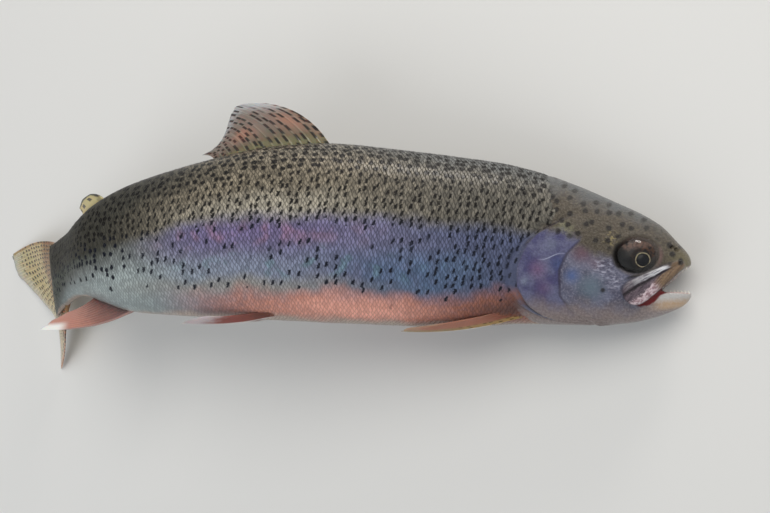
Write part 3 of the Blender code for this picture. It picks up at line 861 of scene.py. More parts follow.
def cover_colour(look, x, y, flat, soft, fine):
    """The gill cover's violet, with a red blush, a blue patch and a thin pale crease."""
    colour = laid(
        soft.fade(0.36, 0.62).between("indigo", "periwinkle"),
        (look.blob(flat, 52, -7, 2.2, 3.0) * 0.75, "magenta"),
        (look.blob(flat, 49.5, -13, 2.0, 3.0) * 0.45, "magenta"),
        (look.blob(flat, 45, -4.6, 1.8, 2.8) * 0.7, "cobalt"),
        (look.blob(flat, 47.5, 1.5, 1.6, 2.0) * 0.35, "cover_grey"),
        (look.blob(flat, 56.6, -11.5, 0.9, 1.5) * 0.7, "cover_pale"),
    )
    line = -3.6 + x.fade(51, 44) * 2.6
    crease = abs(y - line).fade(0.3, 0.05) * x.hill(41, 47.5, 53.5)
    return laid(look.shaded(colour, fine.fade(0.3, 0.7, 0.8, 1.22)), (crease * 0.75, "cover_crease"))


def plate_colour(look, across, down):
    """The upper jaw's side: a silver strip, a dark band, and a lobe pale with painted glints behind a brown
    lip.
    """
    lengthwise = look.noise(look.join(down * 5.0, across * 5.0), 1.6, 4.0, 0.6)
    slant = look.noise(look.join(down * 9.0 + across * 4.0, across), 1.6, 4.0, 0.6)
    glints = look.noise(look.join(down * 12.0, across * 4.0), 1.3, 4.0, 0.65)
    lip = slant.fade(0.38, 0.6).between("lip_shade", "lip_brown")
    # the pinkish lobe, pale where painted glints streak it
    lobe = glints.fade(0.4, 0.6).between("plate_rose", "plate_pale")
    low_edge = down.fade(0.25, 0.8, 0.28, -0.42) + (glints - 0.5) * 0.7
    strip = (across + (lengthwise - 0.5) * 0.3).fade(0.42, 0.54) * down.hill(0.16, 0.25, 1.04)
    return laid(
        (down + slant * 0.16).fade(0.5, 0.66).between(lip, lobe),
        ((across - low_edge).fade(-0.14, 0.14) * down.fade(0.16, 0.3),
         slant.fade(0.35, 0.6).between("plate_dark", "plate_dusk")),
        # painted shade in the groove under the silver strip
        (across.hill(0.12, 0.36, 0.52) * down.fade(0.1, 0.3), "plate_groove"),
        (strip * down.fade(1.0, 0.92), lengthwise.fade(0.4, 0.56).between("silver_shade", "plate_silver")),
    )


def face_colour(look, level):
    """The bare head's colours, from its back to its throat, with painted shade, reflections and glints."""
    x, y, _ = look.split(look.attribute("face"))
    flat = look.join(x, y)
    soft, fine = look.noise(flat, 0.17, 3.0), look.noise(flat, 1.3, 4.0, 0.65)
    level = level + (soft - 0.5) * 0.3
    cover, rim, skirt = look.split(look.attribute("cover"))
    inside, deep, chin = look.split(look.attribute("mouth"))
    on_plate, across, down = look.split(look.attribute("plate"))
    crease, eye = look.number("crease"), look.number("round_eye")
    jaw = laid(
        (y + x * 0.18).fade(-14.4, -16.4).between("peach", "mauve_chin"),
        (x.fade(9, 16) * 0.85, "mauve_chin"),
        (fine.fade(0.44, 0.62) * 0.25, "chin_glint"),
    )
    lip_edge = (y + x * 0.14 + (fine - 0.5) * 1.6).fade(-14, -11.6)
    wedge = abs(across - down.fade(0.5, 0.95, 1.1, 1.32)).fade(0.16, 0.04) * down.hill(0.5, 0.68, 0.94)
    behind_eye = eye.fade(1.22, 1.04) * (x + y).fade(19, 21.5) * (y + x * -0.3).fade(-2.5, -5)
    # lighter towards the top and front of the eye's socket, where light falls
    lit = (y + x * -0.45).fade(-11, -3)
    colour = laid(
        crown_colour(look, x, y, flat, level, fine),
        (level.fade(0.2, -0.04) * x.fade(10, 20), cheek_colour(look, flat, soft, fine)),
        (crease.fade(-0.9, 0.6) * level.fade(0.34, 0.16) * cover,
         cover_colour(look, x, y, flat, soft, fine)),
        # painted shade along the crease before the gill cover
        (abs(crease).fade(0.8, 0.1) * level.fade(0.3, 0.1) * 0.55, "dark_rim"),
        (level.fade(-0.55, -0.88), fine.fade(0.35, 0.7).between("throat", "pale_throat")),
        (skirt * 0.85, level.fade(0.02, 0.26).between("flap", "flap_top")),
        # the gill cover's rear edge: partly its own dark rim, partly painted shadow in the gap under it
        (rim * 0.95, "dark_rim"),
        (chin * x.fade(21, 12), jaw),
        (chin * lip_edge * x.fade(17, 11) * 0.9, "glassy"),
        (inside * 0.9, x.fade(9.5, 11.5).between("glassy", "mouth_red")),
        (deep, x.fade(7, 11).between("mouth_pink", "mouth_red")),
        (on_plate, plate_colour(look, across, down)),
        (look.number("plate_rim") * down.fade(0.02, 0.2) * 0.75, "dark_rim"),
        (wedge * 0.9, "socket"),
        (eye.fade(1.25, 1.02) * 0.6, "head_brown"),
        (eye.hill(1.0, 1.12, 1.3) * look.blob(flat, 12.5, 0.5, 2.5, 2.5) * 0.8, "orbit"),
        (behind_eye * 0.85, "socket"),
        # the socket's rim round the eyeball: painted shade, near black low at the back, lighter where lit
        (eye.fade(1.05, 0.97), lit.between("socket", "dark_orbit")),
    )
    return flat, colour, inside, cover, eye


HEAD_SPOTS_APART = 4.1  # mm
LONE_SPOTS = ((5.9, -0.4, 0.75), (9.2, -1.9, 0.60), (30.0, -12.2, 0.75))  # millimetres back, up, and radius


def skin_finish():
    look = Look("hide", Metallic=0.04, Coat_Roughness=0.10)
    hide, share, level, fine, colour = body_colour(look)
    flat, bare, inside, cover, eye = face_colour(look, level)
    start = share + (fine - 0.5) * 0.02
    bare_share = start.fade(0.216, 0.19) * level.fade(0.15, 0.05) | start.fade(0.196, 0.17)
    distance, _, chances = look.places(flat, 1 / HEAD_SPOTS_APART, 0.72)
    distance = distance * HEAD_SPOTS_APART + (look.noise(flat, 0.8) - 0.5) * 1.1
    above = level.fade(0.12, 0.3) * eye.fade(1.1, 1.35)
    above = above * look.split(chances)[0].fade(0.95, 0.9) * level.fade(1.0, 0.88, 0.6, 1.0)
    colour = laid(
        spotted(look, hide, share, level, colour, 0.95),
        (bare_share, bare),
        (cover.fade(0.2, 0.8), bare),
        (distance.fade(1.3, 0.55) * above * 0.95 * share.fade(0.2, 0.18), "head_spot"),
        *((look.blob(flat, *spot, 0.4) * 0.85, "head_spot") for spot in LONE_SPOTS),
    )
    look.duller(share, 0.38, 0.4)
    look.bumpy(look.noise(flat, 1.1, 5.0, 0.62), 0.8, 0.0007)
    return look.finish_with(colour, inside.fade(0.0, 1.0, 0.32, 0.14))


# ---------------------------------------------------------------- pieces


def face_attributes(s, h, w, angle):
    """What the bare head is painted by: its own millimetres, its plates, its gill cover and its mouth."""
    out = np.abs(w)
    _, _, wide = profile(s)
    down, across, _ = jaw_plate_place(s, h)
    plate_edge, wall = jaw_plate_edge(s, h), JAW_WALL * wide
    at_wall = fade(out, wall - 0.9 * MM, wall - 0.2 * MM)
    on_plate = fade(plate_edge, 0.25 * MM, -0.25 * MM) * at_wall
    gill, flap = table(GILL_EDGE, angle), table(FLAP_EDGE, angle)
    beside = fade(angle, 56, 74)
    cover = fade(s, gill + 0.3 * MM, gill - 0.6 * MM) * beside
    # the gill cover's dark rear edge: partly its own dark rim, partly painted shadow in the gap under it
    rim = bump(s, gill + 0.7 * MM, 0.80 * MM) * beside
    skirt = fade(s, flap + 0.6 * MM, flap) * fade(s, gill, gill + 0.8 * MM) * beside
    under = np.maximum(fade(side(s, h) - out, 0.9 * MM, 1.7 * MM), fade(s, 0.070, 0.062))
    corner = fade(s, 0.040, 0.048) * fade(s, MOUTH_END, 0.062) * fade(h, -0.040, -0.044)
    lip = 1.1 * MM * fade(s, 0.067, 0.052)
    space = mouth_space(s, h, out, wide)
    red_lip = corner * fade(space, lip, lip - 0.4 * MM) * (1 - on_plate)
    inside = np.maximum(fade(space, 0.55 * MM, 0.1 * MM) * under, red_lip)
    deep = inside * fade(out, 0.86 * wide, 0.70 * wide)
    floor = smooth(MOUTH_FLOOR, s)
    chin = fade(h, floor + 0.5 * MM, floor - 0.5 * MM) * fade(s, 0.100, 0.070)
    return {"face": np.stack((s, h, out), 1) * LENGTH * 1000,
            "plate": np.stack((on_plate, across, down / JAW_LONG), 1),
            "cover": np.stack((cover, rim, skirt), 1),
            "mouth": np.stack((inside, deep, chin), 1),
            "crease": (s - table(CHEEK_LINE, h)) / MM,
            "plate_rim": bump(plate_edge, 0.25 * MM, 0.35 * MM) * at_wall,
            "round_eye": round_the_eye(s, h)}


def skin():
    """One skin for the head, jaws, gill covers and trunk."""
    points, quads = skin_mesh()
    s, h, w = points.T
    angle, _ = girth_angle(s, h, w)
    hide, level = hide_attributes(s, h, angle, w > 0)
    attributes = {"hide": hide, "level": level, **face_attributes(s, h, w, angle)}
    piece = add_mesh("skin", world(s, h, w), [quads], skin_finish(), attributes)
    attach(piece, "root")
    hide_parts("head", "lower_jaw", "maxilla_right", "maxilla_left", "gill_cover_right",
                "gill_cover_left", "trunk_front", "trunk_rear", "tail_stalk")


SCALE_STEP, SCALE_ROW = 1.46, 1.27  # mm from one scale to the next along a row, and between rows
SCALE_LONG, SCALE_WIDE = 2.30, 2.70
SCALE_ARC = 1.47  # mm, the radius of a rear edge, which runs to where its neighbours' edges meet
SCALE_FRONT = -1.10  # where a scale starts, ahead of its own place
SCALE_LOW, SCALE_HIGH = -0.12, 0.26  # how high its front and its rear edge stand
SKIRT = 0.20  # how far down the skirt of its sides and rear edge reaches
STEP_ALONG, STEP_ROUND = 0.0005, 0.4  # share and degrees: the steps that feel the hide's slope
UV_PATCH = 0.003  # how much of the texture one scale takes, round the place of its root


def scale_roots(generator):
    """Where the scales are rooted, in millimetres along the fish and of girth, on one side."""
    x = np.arange(0.160 * LENGTH * 1000, 1.022 * LENGTH * 1000, SCALE_STEP)
    x, row = np.meshgrid(x, np.arange(-44, 45), indexing="ij")
    x = x + np.where(row % 2, SCALE_STEP / 2, 0)
    girth = row * SCALE_ROW
    x, girth = x.ravel(), girth.ravel()
    x = x + generator.normal(0, 0.11, len(x))
    girth = girth + generator.normal(0, 0.09, len(x))
    s = x / (LENGTH * 1000)
    angle = look_up(GIRTH_ANGLE, GIRTH_S, GIRTH_MM, s, girth)
    top = look_up(GIRTH, GIRTH_S, GIRTH_DEG, s, np.zeros_like(s))
    bottom = look_up(GIRTH, GIRTH_S, GIRTH_DEG, s, np.full_like(s, 180.0))
    keep = (girth < top + 0.4 * SCALE_ROW) & (girth > bottom - 0.4 * SCALE_ROW)
    ragged = np.where(angle < 80, 2.2 * MM, 0.3 * MM) * generator.random(len(x))
    keep &= s > table(SCALES_START, np.clip(angle, 0, 180)) - 0.4 * MM + ragged
    keep &= s < 1.012 + 0.010 * (np.abs(angle - 90) / 90) ** 2
    return x[keep], girth[keep]


def one_scale():
    """A scale's own grid: millimetres tailward and across, height, and how near it is to the rear edge."""
    down = np.array((0.0, 0.55, 0.86, 1.0))[:, None]
    y = np.linspace(-1, 1, 7)[None, :] * SCALE_WIDE / 2
    x = SCALE_FRONT + down * (SCALE_LONG - SCALE_ARC + np.sqrt(SCALE_ARC**2 - y**2))
    rise = SCALE_LOW + (SCALE_HIGH - SCALE_LOW) * (x - SCALE_FRONT) / SCALE_LONG
    return x, y * np.ones_like(x), rise, down * np.ones_like(x)


def scale_faces(rows, columns):
    """The quads of one scale's top, and of a skirt that closes its sides and rear edge."""
    index = np.arange(rows * columns).reshape(rows, columns)
    quads = [(index[i, j], index[i + 1, j], index[i + 1, j + 1], index[i, j + 1])
             for i in range(rows - 1) for j in range(columns - 1)]
    rim = list(index[1:, 0]) + list(index[-1, 1:]) + list(index[1:-1, -1][::-1])
    under = rows * columns
    for i, (a, b) in enumerate(zip(rim, rim[1:])):
        quads.append((a, under + i, under + i + 1, b))
    return np.array(quads), rim


def lay_scales(name, x, girth, right, generator, finish):
    """Joined meshes of scales along the hide; each follows the curve of the body under it."""
    ux, uy, rise, edge = one_scale()
    rows, columns = ux.shape
    quads, rim = scale_faces(rows, columns)
    ux, uy, rise, edge = (value.ravel() for value in (ux, uy, rise, edge))
    ux, uy = np.append(ux, ux[rim]), np.append(uy, uy[rim])
    rise, edge = np.append(rise, rise[rim] - SKIRT), np.append(edge, edge[rim])
    size = 1.02 + generator.normal(0, 0.05, len(x))[:, None]
    turn = generator.normal(0, 0.09, len(x))[:, None]
    px = x[:, None] + (ux * np.cos(turn) - uy * np.sin(turn)) * size
    pg = girth[:, None] + (uy * np.cos(turn) + ux * np.sin(turn)) * size
    s = px / (LENGTH * 1000)
    angle = look_up(GIRTH_ANGLE, GIRTH_S, GIRTH_MM, s, pg)
    way = 1 if right else -1

    def at(s, angle):
        h, w = on_outline(s, angle, SCALE_DEPTH)
        return world(s, h, way * w)

    here = at(s, angle)
    tailward = at(s + STEP_ALONG, angle) - at(s - STEP_ALONG, angle)
    round_way = at(s, angle - STEP_ROUND) - at(s, angle + STEP_ROUND)
    normal = np.cross(round_way, tailward) * way
    normal /= np.linalg.norm(normal, axis=2)[..., None]
    lean = np.clip(0.95 + generator.normal(0, 0.14, len(x)), 0.6, 1.2)[:, None]
    points = here + normal * (rise[None, :] * lean * 0.001)[..., None]
    h, _ = on_outline(s, angle, SCALE_DEPTH)
    hide, level = hide_attributes(s.ravel(), h.ravel(), np.clip(angle, 0, 180).ravel(),
                                  np.full(s.size, right))
    hide[:, 1] = pg.ravel()
    chance = np.repeat(generator.random(len(x)), s.shape[1])
    scale = np.stack((np.tile(edge, len(x)), chance, np.tile(rise, len(x))), 1)
    faces = (quads[None] + (np.arange(len(x)) * s.shape[1])[:, None, None]).reshape(-1, 4)
    if right:
        faces = faces[:, ::-1]
    root_u = 0.01 + 0.98 * x / (1.03 * LENGTH * 1000)
    root_v = (0.25 if right else 0.75) + 0.235 * girth / MOST_GIRTH
    uv = np.stack((root_u[:, None] + UV_PATCH * ux[None, :] / SCALE_LONG,
                   root_v[:, None] + UV_PATCH * uy[None, :] / SCALE_WIDE), 2).reshape(-1, 2)
    attributes = {"hide": hide, "level": level, "scale": scale}
    piece = add_mesh(name, points.reshape(-1, 3), [faces], finish, attributes, uv)
    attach(piece, "root")


SCALE_PARTINGS = (0.0, 0.42, 0.68, 2.0)  # shares of the length where a side's scales part into pieces


def scales():
    finish = scale_finish()
    generator = np.random.default_rng(7)
    for right, word in ((True, "right"), (False, "left")):
        x, girth = scale_roots(generator)
        s = x / (LENGTH * 1000)
        for i, (start, end) in enumerate(zip(SCALE_PARTINGS, SCALE_PARTINGS[1:])):
            here = (s >= start) & (s < end)
            lay_scales(f"scales_{word}_{i + 1}", x[here], girth[here], right, generator, finish)


# ---------------------------------------------------------------- fins

RAY_STEPS, FIN_STEPS = 12, 56  # points of the mesh from one ray to the next, and from root to tip
THIN = (1.6, 0.62, 0.24)  # mm: the flesh at a fin's root, its rays, and the web between them


def outline_height(s, lift, way=1):
    """Height of the back (way 1) or the belly (way -1), with a lift in millimetres."""
    centre, tall, _ = profile(s)
    return float(centre + way * tall + lift * MM)


def rooted(front, rear, lift, way=1, w=0.0, shares=(0, 0.5, 1)):
    """Where the rays of a fin of the back or the belly start, a little under the skin."""
    places = [front + (rear - front) * u for u in shares]
    return [(u, s, outline_height(s, lift, way), w) for u, s in zip(shares, places)]


def ray_bulge(u, v, rays, split):
    """1 on a ray's middle, 0 between rays; each ray parts in two beyond split, and again near the edge."""
    beside = u * (rays - 1)
    beside = beside - np.round(beside)
    first = 0.25 * np.clip((v - split) / (1 - split), 0, 1)
    second = 0.125 * np.clip((v - 0.78) / 0.22, 0, 1)
    bulge = np.zeros_like(beside)
    for one in (-1, 1):
        for two in (-1, 1):
            bulge = np.maximum(bulge, bump(beside, one * first + two * second, 0.11 - 0.05 * v))
    return bulge


def fin(name, edges, rays, thick, finish, generator, split=0.42, ragged=0.012, sweep=0.0):
    """A fin of branching rays with a thin web between them.

    edges are three lists of (u, s, h, w): where the rays start, the points they lean towards, and their
    tips. thick is in millimetres: the flesh at the root, the rays, and the web.
    """
    across = (rays - 1) * RAY_STEPS + 1
    u = np.linspace(0, 1, across)
    step = np.linspace(0, 1, FIN_STEPS)
    root, bend, tip = (world(*(smooth([(row[0], row[i]) for row in edge], u) for i in (1, 2, 3)))[:, None]
                       for edge in edges)
    worn = 1 - ragged * (1 - ray_bulge(u, np.ones_like(u), rays, split))
    worn = worn - ragged * 1.6 * np.repeat(generator.random(rays), RAY_STEPS)[RAY_STEPS // 2 :][:across]
    v = step[None, :] * worn[:, None]
    middle = root * (1 - v[..., None]) ** 2 + 2 * bend * (v * (1 - v))[..., None] + tip * (v**2)[..., None]
    normal = np.cross(np.gradient(middle, axis=0), np.gradient(middle, axis=1))
    normal /= np.linalg.norm(normal, axis=2)[..., None]
    middle = middle + normal * (0.0003 * sweep * np.sin(v * 9 + u[:, None] * 7))[..., None]
    bulge = ray_bulge(np.repeat(u[:, None], FIN_STEPS, 1), v, rays, split)
    flesh, ray, web = (value * 0.0005 for value in thick)  # half of each, in metres
    half = web + (ray * (1 - 0.75 * v) - web * 0.3) * bulge + flesh * fade(v, 0.20, 0.0)
    half = half * (1 - 0.5 * fade(v, 0.94, 1.0))
    top, under = middle + normal * half[..., None], middle - normal * half[..., None]
    index = np.arange(across * FIN_STEPS).reshape(across, FIN_STEPS)
    grid = np.stack((index[:-1, :-1], index[1:, :-1], index[1:, 1:], index[:-1, 1:]), -1).reshape(-1, 4)
    rim = np.concatenate((index[:, 0], index[-1, 1:], index[-2::-1, -1], index[0, -2:0:-1]))
    after = np.roll(rim, -1)
    wall = np.stack((rim, rim + index.size, after + index.size, after), 1)
    wide = np.linalg.norm(np.diff(middle[:, -1], axis=0), axis=1).sum() * 1000
    long = np.linalg.norm(np.diff(middle, axis=1), axis=2).sum(1).max() * 1000
    spread = np.broadcast_to(u[:, None], v.shape)
    attributes = {"ray": (spread, v, bulge), "web": (spread * wide, v * long, 0 * v)}
    for key, value in attributes.items():
        attributes[key] = np.tile(np.stack(value, 2).reshape(-1, 3), (2, 1))
    points = np.concatenate((top.reshape(-1, 3), under.reshape(-1, 3)))
    piece = add_mesh(name + "_rays", points, [grid, grid[:, ::-1] + index.size, wall], finish, attributes)
    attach(piece, "root")
    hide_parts(name)


def fin_colour(name, front_share, tip_start, joint=0.30, edge=None):
    """A fin's material and its colour from root to tip, with a front edge of its own."""
    look = Look(name, **FLESH)
    kind = name.split("_")[0]
    across, out, ray = look.split(look.attribute("ray"))
    drift = (look.noise(look.attribute("web"), 0.25, 3.0) - 0.5) * 0.3
    reach = out + drift
    joints = (out * 34.0).past_whole().fade(0.22, 0.0) * ray.fade(0.3, 0.9) * out.fade(0.25, 0.5)
    front = (across + drift * 0.2).fade(front_share, front_share * 0.4) * out.fade(0.0, 0.12)
    colour = laid(
        reach.fade(0.08, 0.45).between(kind + "_root", kind),
        (reach.fade(tip_start - 0.15, tip_start + 0.15), kind + "_tip"),
        (front, kind + "_front"),
    )
    colour = laid(look.shaded(colour, ray.fade(0.0, 1.0, 0.84, 1.1)), (joints * joint, "fin_joint"))
    if edge:
        colour = laid(colour, (out.fade(0.965, 0.985), edge))
    return look, across, out, colour


def dashes(look, x, y, apart, half, strength=1.0):
    """Dark dashes along a fin's rays, as a coat; sizes in millimetres."""
    dx, dy, (chance, _, _) = look.apart(x, y, *apart, 0.55)
    long = abs(dx).fade(half[0] + 0.35, half[0] - 0.35)
    thin = abs(dy).fade(half[1] + 0.22, half[1] - 0.15)
    return long * thin * chance.fade(0.9, 0.8) * strength * 0.9, "brown_spot"


def dorsal_finish():
    look, across, out, colour = fin_colour("dorsal_web", 0.08, 0.86)
    corner = across.fade(0.42, 0.1) * out.fade(0.55, 0.92)
    low_blush = across.hill(0.4, 0.62, 0.86) * out.hill(0.2, 0.42, 0.66)
    high_blush = across.hill(0.02, 0.14, 0.34) * out.hill(0.15, 0.42, 0.75)
    edge_dots = abs((out * 9.0).past_whole() - 0.5).fade(0.3, 0.2)
    return look.finish_with(laid(
        colour,
        (corner * 0.8, "dorsal_corner"),
        ((low_blush | high_blush) * 0.62, "dorsal_blush"),
        (out.fade(0.24, 0.12) * 0.6, "dorsal_base"),
        dashes(look, out * 24.0, across * 40.0, (3.1, 2.9), (1.2, 0.52), corner.fade(0.75, 0.3)),
        (edge_dots * across.fade(0.045, 0.02) * 0.85, "brown_spot"),
    ), 0.36)


def adipose_finish():
    look = Look("adipose_flesh", **FLESH)
    across, out, _ = look.split(look.attribute("ray"))
    rim = out.fade(0.8, 0.9) | across.fade(0.16, 0.06)
    ragged_rim = look.noise(look.attribute("web"), 1.2).fade(0.3, 0.5, 0.35, 1.0)
    return look.finish_with(laid(
        out.fade(0.0, 0.5).between("adipose_root", "adipose"),
        (rim * out.fade(0.25, 0.5) * ragged_rim, "spot"),
        dashes(look, out * 9.0, across * 11.0, (4.2, 3.6), (1.1, 0.75)),
    ), 0.36)


def tail_finish():
    look, across, out, colour = fin_colour("tail_web", 0.04, 0.90, 0.1, "tail_edge")
    dx, dy, (chance, _, _) = look.apart(out * 36.0, across * 38.0, 1.9, 1.9, 0.3)
    dot = (dx * dx + dy * dy).root().fade(0.72, 0.4) * out.fade(0.22, 0.3) * out.fade(0.94, 0.8)
    return look.finish_with(laid(
        colour,
        (across.fade(0.955, 0.99) * out.fade(0.1, 0.3), "tail_low_edge"),
        ((out + across * -0.18).fade(0.48, 0.34) * 0.8, "tail_base"),
        (dot * chance.fade(0.98, 0.85) * 0.9, "tail_dot"),
    ), 0.36)


def anal_finish():
    look, across, out, colour = fin_colour("anal_web", 0.06, 0.55)
    colour = laid(colour, (across.fade(0.45, 0.15) * out.fade(0.74, 0.86), "white_tip"))
    return look.finish_with(colour, 0.36)


def pectoral_finish(word):
    look, across, out, colour = fin_colour(f"pectoral_web_{word}", 0.34, 0.92)
    leading = across.fade(0.4, 0.18) * out.fade(0.75, 0.35)
    return look.finish_with(laid(
        colour,
        (leading, "pectoral_tan"),
        dashes(look, out * 44.0, across * 10.0, (3.0, 2.4), (0.7, 0.4), leading),
        (across.fade(0.03, 0.01) * out.fade(0.2, 0.45), "pectoral_edge"),
    ), 0.34)


def pelvic_finish(word):
    look, _, _, colour = fin_colour(f"pelvic_web_{word}", 0.10, 0.72)
    return look.finish_with(colour, 0.34)


def fins():
    generator = np.random.default_rng(11)
    bends = ((0, 0.4914, 0.1684, 0), (0.5, 0.560, 0.156, 0), (1, 0.612, 0.114, 0))
    tips = ((0, 0.5441, 0.1745, 0), (0.15, 0.5613, 0.1760, 0), (0.28, 0.5755, 0.1738, 0),
            (0.37, 0.5815, 0.1690, 0), (0.5, 0.5868, 0.1560, 0), (0.75, 0.5975, 0.1320, 0),
            (0.9, 0.612, 0.1195, 0), (1, 0.628, 0.1133, 0))
    roots = rooted(0.461, 0.607, -1.6, shares=(0, 0.25, 0.5, 0.75, 1))
    fin("dorsal_fin", (roots, bends, tips), 14, THIN, dorsal_finish(), generator)

    bends = ((0, 0.814, 0.0842, 0), (1, 0.868, 0.0670, 0))
    tips = ((0, 0.840, 0.0860, 0), (0.5, 0.8635, 0.0838, 0), (1, 0.8775, 0.0745, 0))
    fin("adipose_fin", (rooted(0.800, 0.861, -1.2), bends, tips), 6, (1.2, 0.1, 1.0), adipose_finish(),
        generator, ragged=0.0)

    roots = ((0, 0.978, 0.041, 0), (0.5, 0.990, 0, 0), (1, 0.978, -0.042, 0))
    bends = ((0, 1.060, 0.0848, 0.002), (0.5, 1.058, 0.000, 0), (1, 1.006, -0.0938, -0.004))
    tips = ((0, 1.162, 0.077, 0.003), (0.25, 1.156, 0.045, 0.003), (0.375, 1.136, 0.018, 0.002),
            (0.5, 1.106, -0.012, 0), (0.75, 1.077, -0.060, -0.0105), (1, 1.111, -0.1305, -0.0215))
    fin("caudal_fin", (roots, bends, tips), 21, (2.4, 0.75, 0.26), tail_finish(), generator,
        split=0.35, ragged=0.014, sweep=1.0)

    bends = ((0, 0.786, -0.112, 0.026), (1, 0.852, -0.073, 0.012))
    tips = ((0, 0.8635, -0.101, 0.0815), (0.4, 0.860, -0.092, 0.068), (1, 0.866, -0.080, 0.040))
    roots = rooted(0.747, 0.843, 1.8, -1, -0.002)
    fin("anal_fin", (roots, bends, tips), 12, THIN, anal_finish(), generator)

    pectoral = (((0, 0.196, -0.0790, 0.022), (1, 0.212, -0.0730, 0.031)),
                ((0, 0.265, -0.1120, 0.028), (1, 0.275, -0.0960, 0.041)),
                ((0, 0.3575, -0.1150, 0.018), (0.4, 0.350, -0.111, 0.028), (1, 0.318, -0.104, 0.035)))
    pelvic = (((0, 0.514, -0.0990, 0.020), (1, 0.532, -0.0960, 0.027)),
              ((0, 0.575, -0.1160, 0.025), (1, 0.585, -0.1040, 0.037)),
              ((0, 0.6515, -0.1063, 0.033), (0.5, 0.640, -0.103, 0.037), (1, 0.612, -0.099, 0.039)))
    for word, way in (("right", 1), ("left", -1)):
        on_side = [[(u, s, h, w * way) for u, s, h, w in edge] for edge in pectoral]
        fin(f"pectoral_fin_{word}", on_side, 13, (1.9, 0.62, 0.24), pectoral_finish(word),
            generator)
        on_side = [[(u, s, h, w * way) for u, s, h, w in edge] for edge in pelvic]
        fin(f"pelvic_fin_{word}", on_side, 10, (1.7, 0.60, 0.24), pelvic_finish(word),
            generator)


# ---------------------------------------------------------------- eyes, tongue and teeth

PUPIL = (0.0636, -0.0040)
PUPIL_MM, RING_MM, IRIS_MM = 2.02, 2.38, 4.3  # radii
ROUND_MM, ROUND_SHARE = 4.4, 0.7  # the rings are round up to this radius and this share of them
EYE_ACROSS = (0.0252 * LENGTH, 0.0224 * LENGTH)  # half sizes of the eyeball's visible part, in metres


def eye_grid(rings, turns):
    """Points over the eye in metres from its middle, in rings round the pupil, out to the eye's rim."""
    wide, high = EYE_ACROSS
    x, y = tilted(*((PUPIL[i] - OPENING[i]) * LENGTH for i in (0, 1)))
    x, y = x / wide, y / high
    turn = np.arange(turns) * math.tau / turns
    way_x, way_y = np.cos(turn) / wide, np.sin(turn) / high
    a, b = way_x**2 + way_y**2, x * way_x + y * way_y
    reach = (np.sqrt(b * b - a * (x * x + y * y - 1)) - b) / a
    inner = 0.001 * np.minimum(ROUND_MM * rings / ROUND_SHARE, ROUND_MM)[:, None]
    far = fade(rings, 0.55, 1.0)[:, None]
    radius = inner * (1 - far) + reach[None] * far
    px, py = radius * np.cos(turn) + x * wide, radius * np.sin(turn) + y * high
    edge = np.sqrt((px / wide) ** 2 + (py / high) ** 2)
    return px, py, radius * 1000, edge


def eye_cap(name, rings, turns, height, way, finish):
    """A domed cap over the eye. height gives millimetres for (radius round the pupil, share to the rim)."""
    px, py, radius, edge = eye_grid(rings, turns)
    s, h = (middle + offset / LENGTH for middle, offset in zip(OPENING, tilted(px, py, -1)))
    level = side(*OPENING) * 0.35 + side(s, h) * 0.65
    out = way * (level + height(radius, edge) * MM)
    points = world(s, h, out).reshape(-1, 3)
    quads = tube_quads(len(rings), turns)
    hub = len(points)
    points = np.vstack((points, points[:turns].mean(0), points[-turns:].mean(0)))
    fans = [(hub, i, (i + 1) % turns) for i in range(turns)]
    last = hub - turns
    fans += [(hub + 1, last + (i + 1) % turns, last + i) for i in range(turns)]
    triangles = np.array(fans)
    if way > 0:
        quads, triangles = quads[:, ::-1], triangles[:, ::-1]
    place = np.stack((px * 1000, py * 1000, radius), 2).reshape(-1, 3)
    place = np.vstack((place, place[:turns].mean(0), place[-1]))
    piece = add_mesh(name, points, [quads, triangles], finish, {"ring": place})
    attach(piece, "root")
    return piece


def iris_height(radius, edge):
    """Millimetres over the head's side: a dome with a funnel to the pupil and the lens in it."""
    dome = 0.95 - 2.1 * edge**2.4
    funnel = -0.35 * fade(radius, IRIS_MM, RING_MM) + 0.22 * bump(radius, (PUPIL_MM + RING_MM) / 2, 0.28)
    lens = 0.30 * fade(radius, PUPIL_MM, 0.2)
    return dome - 0.45 + funnel + lens


def cornea_height(_, edge):
    return 1.36 - 2.25 * edge**2.6


def iris_finish():
    """Near black and brown, reddish patches in front, a painted pinkish reflection above, a thin pale gold
    ring.
    """
    look = Look("iris", Specular_IOR_Level=0.3)
    x, y, radius = look.split(look.attribute("ring"))
    flat = look.join(x, y)
    radius = radius + (look.noise(flat, 0.5) - 0.5) * 0.46
    mottle = look.noise(flat, 0.9, 4.0)
    colour = laid(
        mottle.fade(0.4, 0.66).between("iris_black", "iris_brown"),
        (x.fade(0.8, -2.8) * mottle.fade(0.44, 0.62) * 0.8, "iris_red"),
        # a painted pinkish reflection over the top of the eye, broken by the mottle
        (y.hill(1.2, 3.2, 5.4) * mottle.fade(0.26, 0.56) * 0.8, "iris_pink"),
        ((x + y * -0.5).fade(1.6, 3.2) * 0.9, "iris_shade"),
        (radius.fade(3.2, RING_MM + 0.05), "iris_dusk"),
        (radius.fade(RING_MM + 0.08, RING_MM - 0.03), mottle.fade(0.35, 0.6).between("ring", "ring_gold")),
        (radius.fade(PUPIL_MM + 0.1, PUPIL_MM), "pupil"),
    )
    return look.finish_with(colour, 0.4)


def eyes():
    clear = Look("cornea", Roughness=0.02, IOR=1.34, Transmission_Weight=1.0).finish_with("clear")
    iris = iris_finish()
    for word, way in (("right", 1), ("left", -1)):
        ball = eye_cap(f"eyeball_{word}", np.linspace(0.03, 1, 44), 96, iris_height, way, iris)
        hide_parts(f"eye_{word}")
        eye_cap(f"cornea_{word}", np.linspace(0.05, 1, 30), 72, cornea_height, way, clear)


